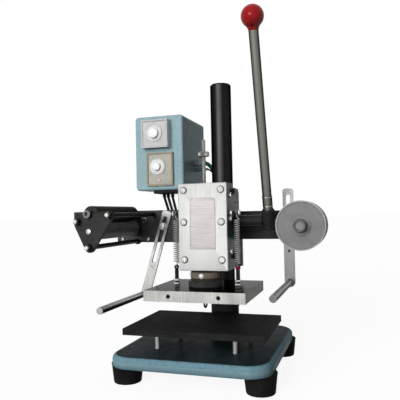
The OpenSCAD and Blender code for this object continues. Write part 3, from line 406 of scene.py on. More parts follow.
PLAIN = {
    "black_satin": (black_steel, "black", 1.0, 0.34, 0.46, ROUND),
    "beam_black": (black_steel, "black", 1.7, 0.34, 0.46, (0.1, 1, 1)),
    # Painted light: the left beam gets a paler black that stands in for light its shaded place lacks.
    "left_beam_black": (black_steel, "black", 3.2, 0.34, 0.46, (0.1, 1, 1)),
    # Painted light: the drive roller's black is made far paler to stand in for light its shadow holds back.
    "roller_black": (black_steel, "black", 13.0, 0.34, 0.46, ALONG_Y),
    "table_black": (black_steel, "table", 1.0, 0.46, 0.60, ALONG_X, 0.004),
    "bright_steel": (machined, "steel", 1.0, 0.18, 0.32, ROUND),
    "spring_steel": (machined, "steel", 1.0, 0.22, 0.36, ROUND, 0.03, 0.4, 0.25),
    "zinc_plate": (machined, "steel", 2.1, 0.24, 0.38, ROUND, 0.03, 0.4, 0.4),
    "post_steel": (machined, "steel", 1.25, 0.3, 0.44, ROUND, 0.03, 0.3, 0.4),
    "rod_steel": (machined, "steel", 0.7, 0.22, 0.36, ALONG_Y, 0.02, 0.1),
    "spindle_grey": (machined, "steel", 0.36, 0.4, 0.5, ALONG_Y, 0.02, 0.2),
    "dark_brass": (machined, (0.125, 0.115, 0.09), 1.0, 0.14, 0.24, ROUND, 0.02, 0.3),
    "bush_bronze": (machined, (0.47, 0.29, 0.12), 1.0, 0.28, 0.42, ROUND),
    "heater_tube": (machined, (0.03, 0.03, 0.03), 1.0, 0.3, 0.45, ROUND, 0.03, 0.1),
    "name_silver": (machined, "name_plate", 1.0, 0.34, 0.46, (0.04, 1, 1), 0.02),
    "name_line": (machined, "name_plate", 0.3, 0.4, 0.5, ROUND, 0.02),
    # The two arms are the same steel; the right arm's smaller share paints in the darker reflection of its
    # surroundings.
    "left_arm_steel": (arm_steel, "steel", 0.9),
    "right_arm_steel": (arm_steel, "steel", 0.37),
    # The rod tones paint a highlight on the top and a dark reflection below.
    "left_rod_steel": (banded_rod, "steel", 1.0, 0.6, 0.15, 1.7, 0.95),
    "right_rod_steel": (banded_rod, "steel", 1.0, 0.3, 0.42, 1.6, 0.34),
    "foot_rubber": (soft_rubber, "rubber", 1.0, 0.60, 0.78),
    "roller_rubber": (soft_rubber, "rubber", 3.4, 0.42, 0.56),
    "lead_sheath": (soft_rubber, "rubber", 1.1, 0.38, 0.5),
    "lead_green": (soft_rubber, "green", 1.0, 0.34, 0.46),
    "knob_red": (moulded, "knob", 1.0, 0.14, 0.24, 0.14, 90, 800, (0.86, 1.12), (0.04, 0.03)),
    "spool_frost": (moulded, "spool", 1.0, 0.36, 0.52, 0.2, 55, 1500, (0.88, 1.14), (0.1, 0.05), 0.28),
    # Painted highlight: a paler rim laid over the spool discs' edges.
    "spool_rim": (moulded, "spool", 1.9, 0.2, 0.32),
    "hub_grey": (moulded, "spool", 0.55, 0.36, 0.5),
    "case_beige": (moulded, "case_beige", 1.0, 0.36, 0.5),
    "timer_face": (moulded, (0.41, 0.40, 0.35), 1.0, 0.36, 0.5),
    "dial_white": (moulded, "dial", 1.0, 0.25, 0.38),
    "skirt_white": (moulded, "dial", 0.76, 0.25, 0.38),
    "scale_grey": (moulded, "dial", 0.6, 0.3, 0.44),
    "scale_marks": (moulded, (0.05, 0.052, 0.055), 1.0, 0.4, 0.55),
    "brown_line": (moulded, (0.17, 0.13, 0.085), 1.0, 0.4, 0.55),
    "pilot_red": (moulded, (0.78, 0.55, 0.60), 1.0, 0.12, 0.2),
    "eye_red": (moulded, (0.12, 0.006, 0.026), 1.0, 0.3, 0.42),
    "terminal_ivory": (moulded, (0.62, 0.58, 0.48), 1.0, 0.34, 0.48),
}


# Finishes with a mix of their own


def hammer_blue(name):
    f = finishes()
    return hammer_paint(name, f.paint_deep, f.paint_light, 2.4, shade(f.paint_light, 1.15))[0].material


def head_enamel(name):
    f = finishes()
    return hammer_paint(name, f.head_deep, f.head_light, 2.2, shade(f.head_light, 1.3))[0].material


def base_blue(name):
    """Hammer paint, darkened towards the floor as painted shade, with a level top painted dark as the shade and
    reflection of the table over it, and a near-black boss.
    """
    f = finishes()
    deep, light = (tinted(paint, (0.6, 0.72, 0.8)) for paint in (f.paint_deep, f.paint_light))
    r, body = hammer_paint(name, deep, light, 2.4, shade(f.paint_light, 1.2), 0.006)
    # Painted shade and reflection: the level top is made nearly black for the table's shadow and its dark
    # underside mirrored in the paint.
    cloud = r.noise(26, 4.0, (1, 0.35, 1))
    painted_top_shade = r.ramp(cloud, (0.3, shade(f.paint_deep, 0.06)), (0.75, shade(f.paint_deep, 0.2)))
    high = r.height()
    # Painted shade: the front is darkened towards the floor.
    body = r.mix(r.range(high, 0.9, 0.0, 0.027, 0.039), body, shade(deep, 0.5))
    body = r.mix(r.range(r.facing(UP), 0.0, 1.0, 0.9, 0.99), body, painted_top_shade)
    body = r.mix(r.range(high, 0.0, 1.0, 0.0435, 0.046), body, shade(f.black, 1.2))
    r.feed(Base_Color=body)
    return r.material


def column_black(name):
    """Polished black bar with a painted highlight, a broad paler stripe down its front."""
    black = finishes().black
    r, body = tooled(name, black, 0.38, 0.44, (1.0, 1.0, 0.06), 0.02, 0.05)
    # Painted highlight: a paler stripe where the lamps would glint on the front.
    painted_highlight = r.range(r.facing((0.08, -0.997, 0)), 0.0, 1.0, 0.94, 0.98)
    r.feed(Base_Color=r.mix(painted_highlight, body, shade(black, 2.9)))
    return r.material


def drawn_bar(name):
    """Drawn bar with a painted highlight along its front and painted shade round its sides and back."""
    bright = finishes().lever
    r = Recipe(name, Metallic=1.0, Specular_Tint=(0, 0, 0, 1))
    lines = r.noise(900, 3.0, (1, 0.05, 0.05))
    # Painted highlight and shade: bright where a face looks forward, dark where it turns away.
    front = r.sum(r.facing((0.09, -0.996, 0)), lines, 0.15)
    r.feed(
        Base_Color=r.ramp(front, (0.58, shade(bright, 0.16)), (0.98, bright)),
        Roughness=r.range(lines, 0.44, 0.54),
    )
    r.bump(lines, 0.12, 0.03)
    return r.material


def front_silver(name):
    """Satin plate, brighter towards its foot as a painted reflection of the pale floor below."""
    silver = finishes().silver
    r, body = tooled(name, silver, 0.42, 0.50, (1, 1, 0.04), 0.02)
    # Painted reflection: the lower plate is lightened.
    r.feed(Base_Color=r.mix(r.range(r.height(), 0.8, 0.0, 0.15, 0.2), body, shade(silver, 1.4)))
    return r.material


def hot_plate(name):
    """Bright machined sides, and a top that heat and handling have darkened."""
    f = finishes()
    r = Recipe(name, Metallic=1.0, Specular_Tint=(0.3, 0.3, 0.3, 1))
    lines = r.noise(700, 3.0, ALONG_Z)
    cloud = r.noise(30)
    top = r.range(r.facing(UP), 0.0, 1.0, 0.4, 0.7)
    sides = r.ramp(r.sum(lines, cloud, 0.6), (0.5, shade(f.hot_face, 0.72)), (1.05, shade(f.hot_face, 1.2)))
    upper = r.ramp(cloud, (0.3, shade(f.hot_top, 0.85)), (0.7, shade(f.hot_top, 1.2)))
    rough = r.add(
        "ShaderNodeMix", {"Factor": top, 2: r.range(cloud, 0.28, 0.42), 3: r.range(cloud, 0.10, 0.18)}
    ).outputs[0]
    r.feed(Base_Color=r.mix(top, sides, upper), Roughness=rough)
    r.bump(lines, 0.15, 0.03)
    return r.material


def collar_board(name):
    """Pressed board in thin layers, scorched dark near the heated plate."""
    base = finishes().board
    r = Recipe(name, Specular_IOR_Level=0.1)
    layers = r.noise(260, 3.0, (0.12, 0.12, 5.0))
    specks = r.noise(900, 2.0)
    body = r.ramp(layers, (0.3, shade(base, 0.62)), (0.7, shade(base, 1.25)))
    body = r.mix(r.range(specks, 0.0, 0.5, 0.6, 0.75), body, shade(base, 0.5))
    body = r.mix(r.range(r.height(), 1.0, 0.0, 0.1355, 0.1365), body, shade(base, 0.16))
    r.feed(Base_Color=body, Roughness=r.range(layers, 0.5, 0.68))
    r.bump(layers, 0.2, 0.08)
    return r.material


def grommet_rubber(name):
    """Black below the box; above, painted shade: the colour the box's side takes in its shadow."""
    f = finishes()
    r, cloud = rubbery(name, f.rubber, 0.5, 0.66)
    # Painted shade: the box side's colour in shadow, so the grommets and boots there merge with it.
    painted_box_shade = tinted(f.paint_deep, (1.2, 0.9, 0.86))
    grey = r.ramp(cloud, (0.3, shade(painted_box_shade, 0.75)), (0.7, shade(painted_box_shade, 0.95)))
    r.feed(Base_Color=r.mix(r.range(r.height(), 0.0, 1.0, 0.28, 0.29), f.rubber, grey))
    return r.material


def case_grey(name):
    """Pale moulding with its right side painted near white: painted light for what clear plastic would pass on
    from its lit face.
    """
    r, body = plastic(name, finishes().case_grey, 0.22, 0.34)
    # Painted light: faces that look right are mixed to near white.
    r.feed(Base_Color=r.mix(r.range(r.facing(RIGHT), 0.0, 1.0, 0.5, 0.8), body, (0.97, 0.98, 0.97)))
    return r.material


MIXED = {
    build.__name__: build for build in (
        hammer_blue, head_enamel, base_blue, column_black, drawn_bar, front_silver, hot_plate, collar_board,
        grommet_rubber, case_grey,
    )
}


def look(name):
    """The finish of that name, made when it is first asked for."""
    made = bpy.data.materials.get(name)
    if made:
        return made
    if name in MIXED:
        return MIXED[name](name)
    maker, colour, share, *settings = PLAIN[name]
    if isinstance(colour, str):
        colour = getattr(finishes(), colour)
    return maker(name, shade(colour, share), *settings)


# Solids, as (points, faces) in millimetres


def axis(at, along):
    """Place whose z runs along a direction."""
    return Matrix.Translation(at) @ Vector(along).to_track_quat("Z", "Y").to_matrix().to_4x4()


def shifted(place, height):
    """The same place, further along its z."""
    return place @ Matrix.Translation((0, 0, height))


def around(sides):
    return [2 * math.pi * k / sides for k in range(sides)]


def polar(radius, a, height):
    return Vector((radius * math.cos(a), radius * math.sin(a), height))


def skin(rows, loop=False):
    """Solid over rows of points, each joined to the next all round.

    A row of one point is a tip. The first and last rows are end faces, or are joined in a loop.
    """
    points, rings, faces = [], [], []
    for row in rows:
        rings.append(range(len(points), len(points) + len(row)))
        points += row
    for low, high in zip(rings, rings[1:] + (rings[:1] if loop else [])):
        sides = max(len(low), len(high))
        for k in range(sides):
            j = (k + 1) % sides
            if len(low) == 1:
                faces.append((low[0], high[k], high[j]))
            elif len(high) == 1:
                faces.append((low[k], low[j], high[0]))
            else:
                faces.append((low[k], low[j], high[j], high[k]))
    if not loop:
        faces += [tuple(ring) for ring in (rings[0], rings[-1]) if len(ring) > 1]
    return points, faces


def lathe(profile, place, sides=48, shape=None, loop=False):
    """(radius, height) pairs turned about a place's z. shape(angle, radius) cuts flats or knurls."""
    rows = []
    for radius, height in profile:
        angles = around(sides) if radius else [0.0]
        rows.append([place @ polar(shape(a, radius) if shape else radius, a, height) for a in angles])
    return skin(rows, loop)


def turned_ring(profile, place, sides=48):
    """Ring with a closed profile."""
    return lathe(profile, place, sides, loop=True)


def hexagon(across):
    """Shape of a hexagon by its width across flats."""

    def cut(a, radius):
        return min(radius, across / 2 / math.cos((a + math.pi / 6) % (math.pi / 3) - math.pi / 6))

    return cut


def knurl(teeth, outer, deep):
    """Shape of knurls on every ring as wide as the outer radius."""

    def cut(a, radius):
        return radius - deep * (0.5 - 0.5 * math.cos(teeth * a)) if radius > outer - 0.01 else radius

    return cut


def hex_nut(corners, height, place, bore=0.0):
    """Chamfered nut by its width across corners, or a bolt head where it has no bore."""
    corner = corners / 2
    chamfer = 0.93 * corner
    fall = (corner - chamfer) * 0.6
    flats = hexagon(corners * math.cos(math.pi / 6))
    rim = [(chamfer, 0), (corner, fall), (corner, height - fall), (chamfer, height)]
    if not bore:
        return lathe([(0, 0), *rim, (0, height)], place, 72, flats)
    ring = [(bore, 0.3), (bore + 0.35, 0), *rim, (bore + 0.35, height), (bore, height - 0.3)]
    return lathe(ring, place, 72, flats, True)


def washer(bore, radius, place, chamfer):
    """Flat washer, 1.2 mm thick."""
    inner = radius - chamfer
    return turned_ring(
        [(bore, 0), (inner, 0), (radius, 0.25), (radius, 0.95), (inner, 1.2), (bore, 1.2)], place
    )


# Driver recesses: the depth sunk at a point of a screw head


def no_drive(x, y):
    return 0.0


def cross_drive(size, deep):
    def sunk(x, y):
        near, far = sorted((abs(x), abs(y)))
        return deep * (1 - 0.5 * far / size) if near < size * 0.24 and far < size else 0.0

    return sunk


def slot_drive(width, deep):
    def sunk(x, y):
        return deep if abs(y) < width / 2 else 0.0

    return sunk


def socket_drive(across, deep):
    flats = hexagon(across)

    def sunk(x, y):
        return deep if math.hypot(x, y) < flats(math.atan2(y, x), across) else 0.0

    return sunk


def screw_head(place, radius, rise, edge, drive, crown=1.0, rings=16, sides=64):
    """Head with a straight edge, a crowned top and a driver recess sunk in it."""

    def ring(r, height):
        flat = [polar(r, a, 0.0) for a in around(sides)]
        return [place @ Vector((p.x, p.y, height(p.x, p.y))) for p in flat]

    def top(x, y):
        r = min(1.0, math.hypot(x, y) / radius)
        return edge + (rise - edge) * (1 - r**2.4) ** (1 / (1 + crown)) - drive(x, y)

    rows = [ring(radius, lambda x, y: 0.0), ring(radius, lambda x, y: edge)]
    rows += [ring(radius * (1 - (k / rings) ** 1.15), top) for k in range(1, rings)]
    return skin(rows)


def tube(path, radius, sides=12):
    """Round bar along a list of points."""
    path = [Vector(p) for p in path]
    rows, normal = [], None
    for before, at, after in zip(path[:1] + path, path, path[1:] + path[-1:]):
        along = (after - before).normalized()
        normal = along.orthogonal() if normal is None else normal - normal.dot(along) * along
        normal.normalize()
        side = along.cross(normal)
        rows.append([at + radius * (math.cos(a) * normal + math.sin(a) * side) for a in around(sides)])
    return skin(rows)


def route(corners, bend, step=2.5):
    """Line through corners that are rounded to one bend radius, with a point every step."""
    corners = [Vector(c) for c in corners]
    legs = [corners[0]]
    for a, b, c in zip(corners, corners[1:], corners[2:]):
        u, v = (a - b).normalized(), (c - b).normalized()
        half = u.angle(v) / 2
        reach = bend / math.tan(half)
        middle = b + (u + v).normalized() * bend / math.sin(half)
        start, stop = b + u * reach - middle, b + v * reach - middle
        legs += [middle + bend * start.slerp(stop, k / 10) for k in range(11)]
    legs.append(corners[-1])
    line = [legs[0]]
    for a, b in zip(legs, legs[1:]):
        parts = max(1, round((b - a).length / step))
        line += [a.lerp(b, k / parts) for k in range(1, parts + 1)]
    return line


def thread(radius, pitch, low, high, place, sides=20):
    """Threaded rod with chamfered ends, four rows to a turn."""
    steps = int((high - low) / pitch * 4)
    rows = []
    for i in range(steps + 1):
        h = low + (high - low) * i / steps
        end = min(1.0, 0.72 + 0.28 * min(h - low, high - h) / (0.8 * pitch))
        row = []
        for k, a in enumerate(around(sides)):
            f = (h / pitch - k / sides) % 1.0
            row.append(place @ polar(radius * end - 0.3 * pitch * (1 - abs(2 * f - 1)), a, h))
        rows.append(row)
    return skin(rows)


def ring_bar(centre, across, radius, bar, steps=40, sides=16):
    """Closed ring of round bar in the plane square to a direction."""
    place = axis(centre, across)
    rows = [
        [place @ polar(radius + bar * math.cos(b), a, bar * math.sin(b)) for b in around(sides)]
        for a in around(steps)
    ]
    return skin(rows, True)


def rounded(width, height, corner, steps=6):
    """Outline of a rectangle with round corners, about its middle."""
    out = []
    for sx, sz, start in ((1, 1, 0), (-1, 1, 90), (-1, -1, 180), (1, -1, 270)):
        x, z = sx * (width / 2 - corner), sz * (height / 2 - corner)
        for k in range(steps + 1):
            a = math.radians(start + 90 * k / steps)
            out.append((x + corner * math.cos(a), z + corner * math.sin(a)))
    return out


def framed(at, loops, close=False):
    """Skin over (outline, forward) pairs, stacked towards the front."""
    x, y, z = at
    rows = [[Vector((x + u, y - forward, z + v)) for u, v in outline] for outline, forward in loops]
    return skin(rows, close)


def border(at, outer, inner, low, high):
    """Raised line between two outlines."""
    return framed(at, [(outer, low), (outer, high), (inner, high), (inner, low)], True)


def digits(text, size, at):
    """Plain figures that face the front, centred on a point."""
    curve = bpy.data.curves.new("figures", "FONT")
    curve.body, curve.size, curve.extrude = text, size, 0.05
    curve.align_x, curve.align_y = "CENTER", "CENTER"
    holder = bpy.data.objects.new("figures", curve)
    mesh = bpy.data.meshes.new_from_object(holder)
    points = [Vector((at[0] + v.co.x, at[1] - v.co.z, at[2] + v.co.y)) for v in mesh.vertices]
    faces = [tuple(p.vertices) for p in mesh.polygons]
    bpy.data.objects.remove(holder)
    bpy.data.curves.remove(curve)
    bpy.data.meshes.remove(mesh)
    return points, faces


def bar_between(a, b, wide, at_y, thick=0.1):
    """Thin flat mark between two (x, z) points."""
    a, b = Vector((a[0], at_y, a[1])), Vector((b[0], at_y, b[1]))
    side = Vector(BACK).cross((b - a).normalized()) * wide / 2
    flat = [a - side, a + side, b + side, b - side]
    return skin([flat, [p + thick * Vector(FRONT) for p in flat]])


# Pieces


def piece(name, solids, finish, body, node=None, sharp=35):
    """One mesh from several solids, in place of a CAD node or beside them. Without a body it is left
    unattached.
    """
    points, faces = [], []
    for own_points, own_faces in solids:
        first = len(points)
        points += [MM * Vector(p) for p in own_points]
        faces += [tuple(first + i for i in f) for f in own_faces]
    mesh = bpy.data.meshes.new(name)
    mesh.from_pydata(points, [], faces)
    work = bmesh.new()
    work.from_mesh(mesh)
    bmesh.ops.recalc_face_normals(work, faces=work.faces)
    work.to_mesh(mesh)
    work.free()
    mesh.shade_smooth()
    mesh.set_sharp_from_angle(angle=math.radians(sharp))
    mesh.materials.append(look(finish))
    obj = bpy.data.objects.new(name, mesh)
    bpy.context.scene.collection.objects.link(obj)
    if node:
        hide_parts(node)
    if body:
        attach(obj, body)
    return obj


def dress(finish, *nodes, edge=0.0):
    """Gives CAD nodes a finish, and breaks their edges."""
    for name in nodes:
        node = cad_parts[name]
        node.data.materials.clear()
        node.data.materials.append(look(finish))
        if not edge:
            continue
        weld = node.modifiers.new("Weld", "WELD")
        weld.merge_threshold = 1e-5
        broken = node.modifiers.new("Edge break", "BEVEL")
        broken.width = edge * MM
        broken.segments = 2
        broken.limit_method = "ANGLE"
        broken.angle_limit = math.radians(40)
        broken.miter_outer = "MITER_ARC"
        normals = node.modifiers.new("Normals", "WEIGHTED_NORMAL")
        normals.keep_sharp = True


class PRESS_OT_stage(bpy.types.Operator):
    """Sets the camera, the soft studio light and the pale floor"""

    bl_idname = "foil_press.stage"
    bl_label = "Stage"

    # name, way to the lamp, share of the key light, width in degrees, seen in shiny faces
    lamps = (
        ("key", (-0.22, -0.92, 0.32), 0.58, 40, False),
        ("sheen", (-0.31, -0.95, 0.05), 0.30, 22, True),
        ("front_sheen", (-0.03, -0.998, 0.05), 0.12, 14, True),
    )

    def execute(self, context):
        scene = context.scene
        stage = scene.press_stage
        self.camera(scene, stage)
        self.light(scene, stage)
        self.floor(scene, stage)
        scene.view_settings.view_transform = "Standard"
        return {"FINISHED"}

    def camera(self, scene, stage):
        level = math.cos(stage.pitch)
        ahead = Vector((-math.sin(stage.yaw) * level, math.cos(stage.yaw) * level, -math.sin(stage.pitch)))
        right = Vector((math.cos(stage.yaw), math.sin(stage.yaw), 0))
        up = right.cross(ahead)
        turned = math.cos(stage.roll) * right + math.sin(stage.roll) * up
        upright = -math.sin(stage.roll) * right + math.cos(stage.roll) * up
        data = bpy.data.cameras.new("camera")
        data.sensor_width = 36
        data.lens = stage.lens
        data.clip_start = 0.01
        camera = bpy.data.objects.new("camera", data)
        scene.collection.objects.link(camera)
        axes = Matrix((turned, upright, -ahead)).transposed().to_4x4()
        camera.matrix_world = Matrix.Translation(stage.camera_at) @ axes
        scene.camera = camera

    def light(self, scene, stage):
        for name, towards, share, spread, mirrored in self.lamps:
            data = bpy.data.lights.new(name, "SUN")
            data.energy = stage.key * share
            data.angle = math.radians(spread)
            lamp = bpy.data.objects.new(name, data)
            lamp.rotation_euler = Vector(towards).to_track_quat("Z", "Y").to_euler()
            lamp.visible_glossy = mirrored
            scene.collection.objects.link(lamp)
        world = bpy.data.worlds.new("studio")
        world.use_nodes = True
        tree = world.node_tree
        level = tree.nodes.new("ShaderNodeMapRange")
        level.inputs["To Min"].default_value = stage.sky
        level.inputs["To Max"].default_value = 1.0
        tree.links.new(self.seen(tree), level.inputs["Value"])
        back = tree.nodes["Background"]
        back.inputs["Color"].default_value = (1, 1, 1, 1)
        tree.links.new(level.outputs[0], back.inputs["Strength"])
        scene.world = world

    def seen(self, tree):
        """One where a ray is seen straight, mirrored or through glass."""
        path = tree.nodes.new("ShaderNodeLightPath")
        total = path.outputs["Is Camera Ray"]
        for other in ("Is Glossy Ray", "Is Transmission Ray"):
            join = tree.nodes.new("ShaderNodeMath")
            join.operation = "MAXIMUM"
            tree.links.new(total, join.inputs[0])
            tree.links.new(path.outputs[other], join.inputs[1])
            total = join.outputs[0]
        return total

    def floor(self, scene, stage):
        """Pale floor that glows to white where it is seen, and takes shadows."""
        r = Recipe("pale_floor", Roughness=0.9, Specular_IOR_Level=0.0, Emission_Color=(1, 1, 1, 1))
        grain = r.add("ShaderNodeTexNoise", {"Scale": 9}).outputs["Fac"]
        glow = 1.05 - 0.72 * stage.floor
        r.feed(
            Base_Color=r.ramp(grain, (0.0, [0.97 * stage.floor] * 3), (1.0, [stage.floor] * 3)),
            Emission_Strength=r.add(
                "ShaderNodeMath", {0: self.seen(r.tree), 1: glow}, operation="MULTIPLY"
            ).outputs[0],
        )
        half = 30.0
        corners = [(-half, -half, 0), (half, -half, 0), (half, half, 0), (-half, half, 0)]
        mesh = bpy.data.meshes.new("floor")
        mesh.from_pydata(corners, [], [(0, 1, 2, 3)])
        mesh.materials.append(r.material)
        floor = bpy.data.objects.new("floor", mesh)
        scene.collection.objects.link(floor)


class PRESS_OT_base(bpy.types.Operator):
    """Finishes the cast base, table, posts and column, and makes the rubber feet"""

    bl_idname = "foil_press.base"
    bl_label = "Base and Table"

    def execute(self, context):
        dress("base_blue", "base_casting")
        dress("table_black", "table_plate", edge=0.6)
        dress("post_steel", "table_posts")
        dress("column_black", "column")
        recess, rise = 13.5, 27
        foot = [
            (0, recess), (5.6, recess), (6, 13.1), (6, 0.8), (6.8, 0), (17.0, 0), (18.4, 0.4), (19.05, 1.4),
            (19.9, 9.0), (19.6, 9.5), (19.65, 10.0), (20.1, 10.5), (20.95, 18.0), (20.65, 18.5), (20.7, 19.0),
            (21.1, 19.5), (21.6, 24.3), (21.9, 25.0), (22, 26.4), (21.6, rise), (0, rise),
        ]
        feet = [lathe(foot, axis((x, y, 0), UP), 64) for x, y in FOOT_SPOTS]
        drive = cross_drive(2.6, 1.4)
        screws = [screw_head(axis((x, y, recess), DOWN), 4.6, 3.0, 1.2, drive) for x, y in FOOT_SPOTS]
        piece("rubber_feet_ribbed", feet, "foot_rubber", "base", "rubber_feet", 30)
        piece("foot_screws", screws, "bright_steel", "base")
        return {"FINISHED"}


class PRESS_OT_head(bpy.types.Operator):
    """Finishes the head casting and makes its front plate, screws, nuts and hangers"""

    bl_idname = "foil_press.head"
    bl_label = "Head"

    def execute(self, context):
        dress("head_enamel", "head_block", edge=0.9)
        self.plates()
        self.front_screws(fittings())
        self.side_screws()
        self.hangers()
        return {"FINISHED"}

    def plates(self):
        wide, tall = 74, 128
        layers = ((1.2, 0.5, 0), (0, 1.0, 0.6), (0, 1.0, 3.3), (0.6, 0.8, 3.85), (1.6, 0.5, PLATE_T))
        loops = [(rounded(wide - less, tall - less, corner), forward) for less, corner, forward in layers]
        plate = framed(PLATE_AT, loops)
        piece("front_plate_satin", [plate], "front_silver", "head", "front_plate")
        dress("name_silver", "name_plate")
        line = border(NAME_PLATE_AT, rounded(36.6, 73.6, 0.8), rounded(35.6, 72.6, 0.5), 0.2, 0.66)
        piece("name_plate_border", [line], "name_line", "head")
        dress("bush_bronze", "shaft_bushes", "gib_strip")

    def front_screws(self, f):
        radius, rise = mm(f.screw_head) / 2, mm(f.screw_rise)
        ring = [
            (radius - 0.1, 0), (radius + 0.7, 0), (radius + 0.7, 0.3), (radius + 0.3, 0.6), (radius - 0.1, 0.6),
        ]
        heads, rings = [], []
        for n, z in enumerate(FRONT_SCREW_Z):
            for x in FRONT_SCREW_X:
                place = axis((x, FRONT_Y, z), FRONT)
                rings.append(turned_ring(ring, place))
                turn = Matrix.Rotation(0.5 + 0.9 * n + 0.02 * x, 4, "Z")
                heads.append(screw_head(place @ turn, radius, rise, 1.1, cross_drive(radius * 0.56, 1.7)))
        piece("front_plate_screws", heads, "zinc_plate", "head", "front_screws")
        # Painted shadow: a black ring round each screw head.
        piece("front_screw_washers", rings, "black_satin", "head")
        rivets = [
            screw_head(axis((x, FRONT_Y - NAME_PLATE_T, z), FRONT), 1.1, 0.95, 0.2, no_drive, rings=6, sides=24)
            for x in RIVET_X for z in RIVET_Z
        ]
        piece("name_plate_rivets", rivets, "zinc_plate", "head")

    def side_screws(self):
        seats = [axis((HEAD_SIDE_X, SIDE_Y, z), RIGHT) for z in GIB_SCREW_Z]
        nuts = [hex_nut(7.8, 3.2, seat, 2.05) for seat in seats]
        piece("gib_nuts", nuts, "zinc_plate", "head", "gib_screws")
        tips = [screw_head(seat, 1.98, 4.8, 4.3, slot_drive(0.7, 1.0)) for seat in seats]
        piece("gib_screw_tips", tips, "black_satin", "head", "gib_screws")
        caps = [
            screw_head(axis((HEAD_SIDE_X, CAP_SCREW_Y, z), RIGHT), 4.2, 4.2, 3.8, socket_drive(4.2, 2.4), 0.2)
            for z in CAP_SCREW_Z
        ]
        piece("head_side_screws", caps, "black_satin", "head")
        bolt = axis(CLAMP_BOLT_AT, RIGHT)
        corners, thick = 18, 7
        clamp = [
            hex_nut(corners, thick, shifted(bolt, -thick)),
            hex_nut(corners, thick, shifted(bolt, CLAMP_WIDTH), 4.8),
            thread(5, 1.5, 0, CLAMP_WIDTH + 12, bolt),
        ]
        piece("clamp_bolt_and_nut", clamp, "bright_steel", "head", "clamp_bolt")

    def hangers(self):
        knob = [
            (0, 50.3), (3.4, 50.3), (3.8, 50.5), (4, 50.9), (4, 51.6), (3.4, 52.7), (2.2, 53.35), (0, 53.5),
        ]
        pin = [(0, 28), (2.5, 28), (2.5, 36.8), (2, HEAD_SIDE_X), (2, 50.6), (0, 50.6)]
        heads, shanks = [], []
        for side in (-1, 1):
            place = axis((0, SIDE_Y, SPRING_HIGH_EYE), (side, 0, 0))
            heads += [hex_nut(7.8, 4, shifted(place, HEAD_SIDE_X), 2.1), lathe(knob, place, 32)]
            shanks.append(lathe(pin, place, 32))
        piece("spring_hanger_heads", heads, "zinc_plate", "head", "spring_hangers")
        piece("spring_hanger_shanks", shanks, "black_satin", "head", "spring_hangers")


class PRESS_OT_ram(bpy.types.Operator):
    """Finishes the ram, collar and heated plate, and makes the stop rod, nuts and eye studs"""

    bl_idname = "foil_press.ram"
    bl_label = "Ram and Heated Plate"

    def execute(self, context):
        dress("black_satin", "ram_slide")
        dress("collar_board", "insulating_collar", edge=0.5)
        dress("beam_black", "ram_flange", edge=1.0)
        dress("hot_plate", "heated_plate", edge=0.5)
        dress("heater_tube", "heater_cartridges", edge=0.3)
        # Painted shade: black liners darken the fixing holes and widen their look.
        sleeve = [(1.9, -6), (2.9, -0.4), (2.9, 0.2), (1.7, 0.2), (1.5, -6)]
        sleeves = [lathe(sleeve, axis((x, HOT_FRONT_Y, HOT_MIDDLE), FRONT), 32) for x in FIXING_HOLE_X]
        piece("fixing_hole_sleeves", sleeves, "black_satin", "ram")
        self.stop(fittings())
        self.collar_screws()
        self.studs()
        return {"FINISHED"}

    def stop(self, f):
        rod = thread(3, mm(f.thread_pitch), STOP_ROD_FOOT, STOP_ROD_TIP, axis((0, RAM_Y, 0), UP))
        piece("stop_rod_threaded", [rod], "rod_steel", "ram", "stop_rod", sharp=60)
        outer = 8.5
        profile = [
            (3.05, 0.5), (3.5, 0), (7.6, 0), (outer, 0.9), (outer, 6.1), (7.6, 7), (3.5, 7), (3.05, 6.5),
        ]
        knurls = knurl(f.nut_teeth, outer, 0.55)
        nut = lathe(profile, axis((0, RAM_Y, STOP_NUT_Z), UP), f.nut_teeth * 4, knurls, True)
        piece("stop_nut_knurled", [nut], "rod_steel", "stop_nut", "stop_nut")

    def collar_screws(self):
        """Four screws round the collar, of which the right-hand one is black."""
        middle = Vector((0, RAM_Y, COLLAR_SCREW_Z))
        screws = []
        for k in range(4):
            out = polar(1, math.pi / 2 * k, 0)
            place = axis(middle + COLLAR_SCREW_REACH * out, out) @ Matrix.Rotation(0.6 + k, 4, "Z")
            screws.append([
                screw_head(place, 4.1, 2.9, 0.8, slot_drive(0.9, 1.0)),
                lathe([(0, -3), (2, -3), (2, 0.6), (0, 0.6)], place, 24),
            ])
        right, *others = screws
        piece("collar_screw_black", right, "black_satin", "ram", "collar_screws")
        piece("collar_screws_round", sum(others, []), "zinc_plate", "ram", "collar_screws")

    def studs(self):
        """Eye studs of the return springs, and the red bead on the right one's eye."""
        eye, r = 26, 4.0
        shoulder = [(0, 19.5), (2.6, 19.5), (2.7, 20), (2.5, 22.6), (1.6, 23.6), (0, 23.6)]
        bead = [(0, 22.6), (1.8, 22.8)]
        bead += [(r * math.sin(a), eye - r * math.cos(a)) for a in (math.pi * k / 20 for k in range(3, 20))]
        bead.append((0, eye + r))
        left, right = (axis((x, SIDE_Y, HOT_TOP), UP) for x in (-SPRING_X, SPRING_X))
        nuts, shanks = [], []
        for place in (left, right):
            nuts += [hex_nut(9.2, 2.5, shifted(place, z), 2.4) for z in (0.7, 5.9)]
            shanks += [
                thread(3.1, 0.8, -1, 23, place),
                ring_bar(shifted(place, eye).translation, BACK, 2.4, 1.5),
                lathe(shoulder, place, 32),
            ]
        piece("stud_nuts", nuts, "zinc_plate", "ram", "eye_studs")
        piece("eye_stud_shanks", shanks, "black_satin", "ram", "eye_studs", sharp=60)
        piece("eye_stud_bead", [lathe(bead, right, 32)], "eye_red", "ram", "eye_studs")


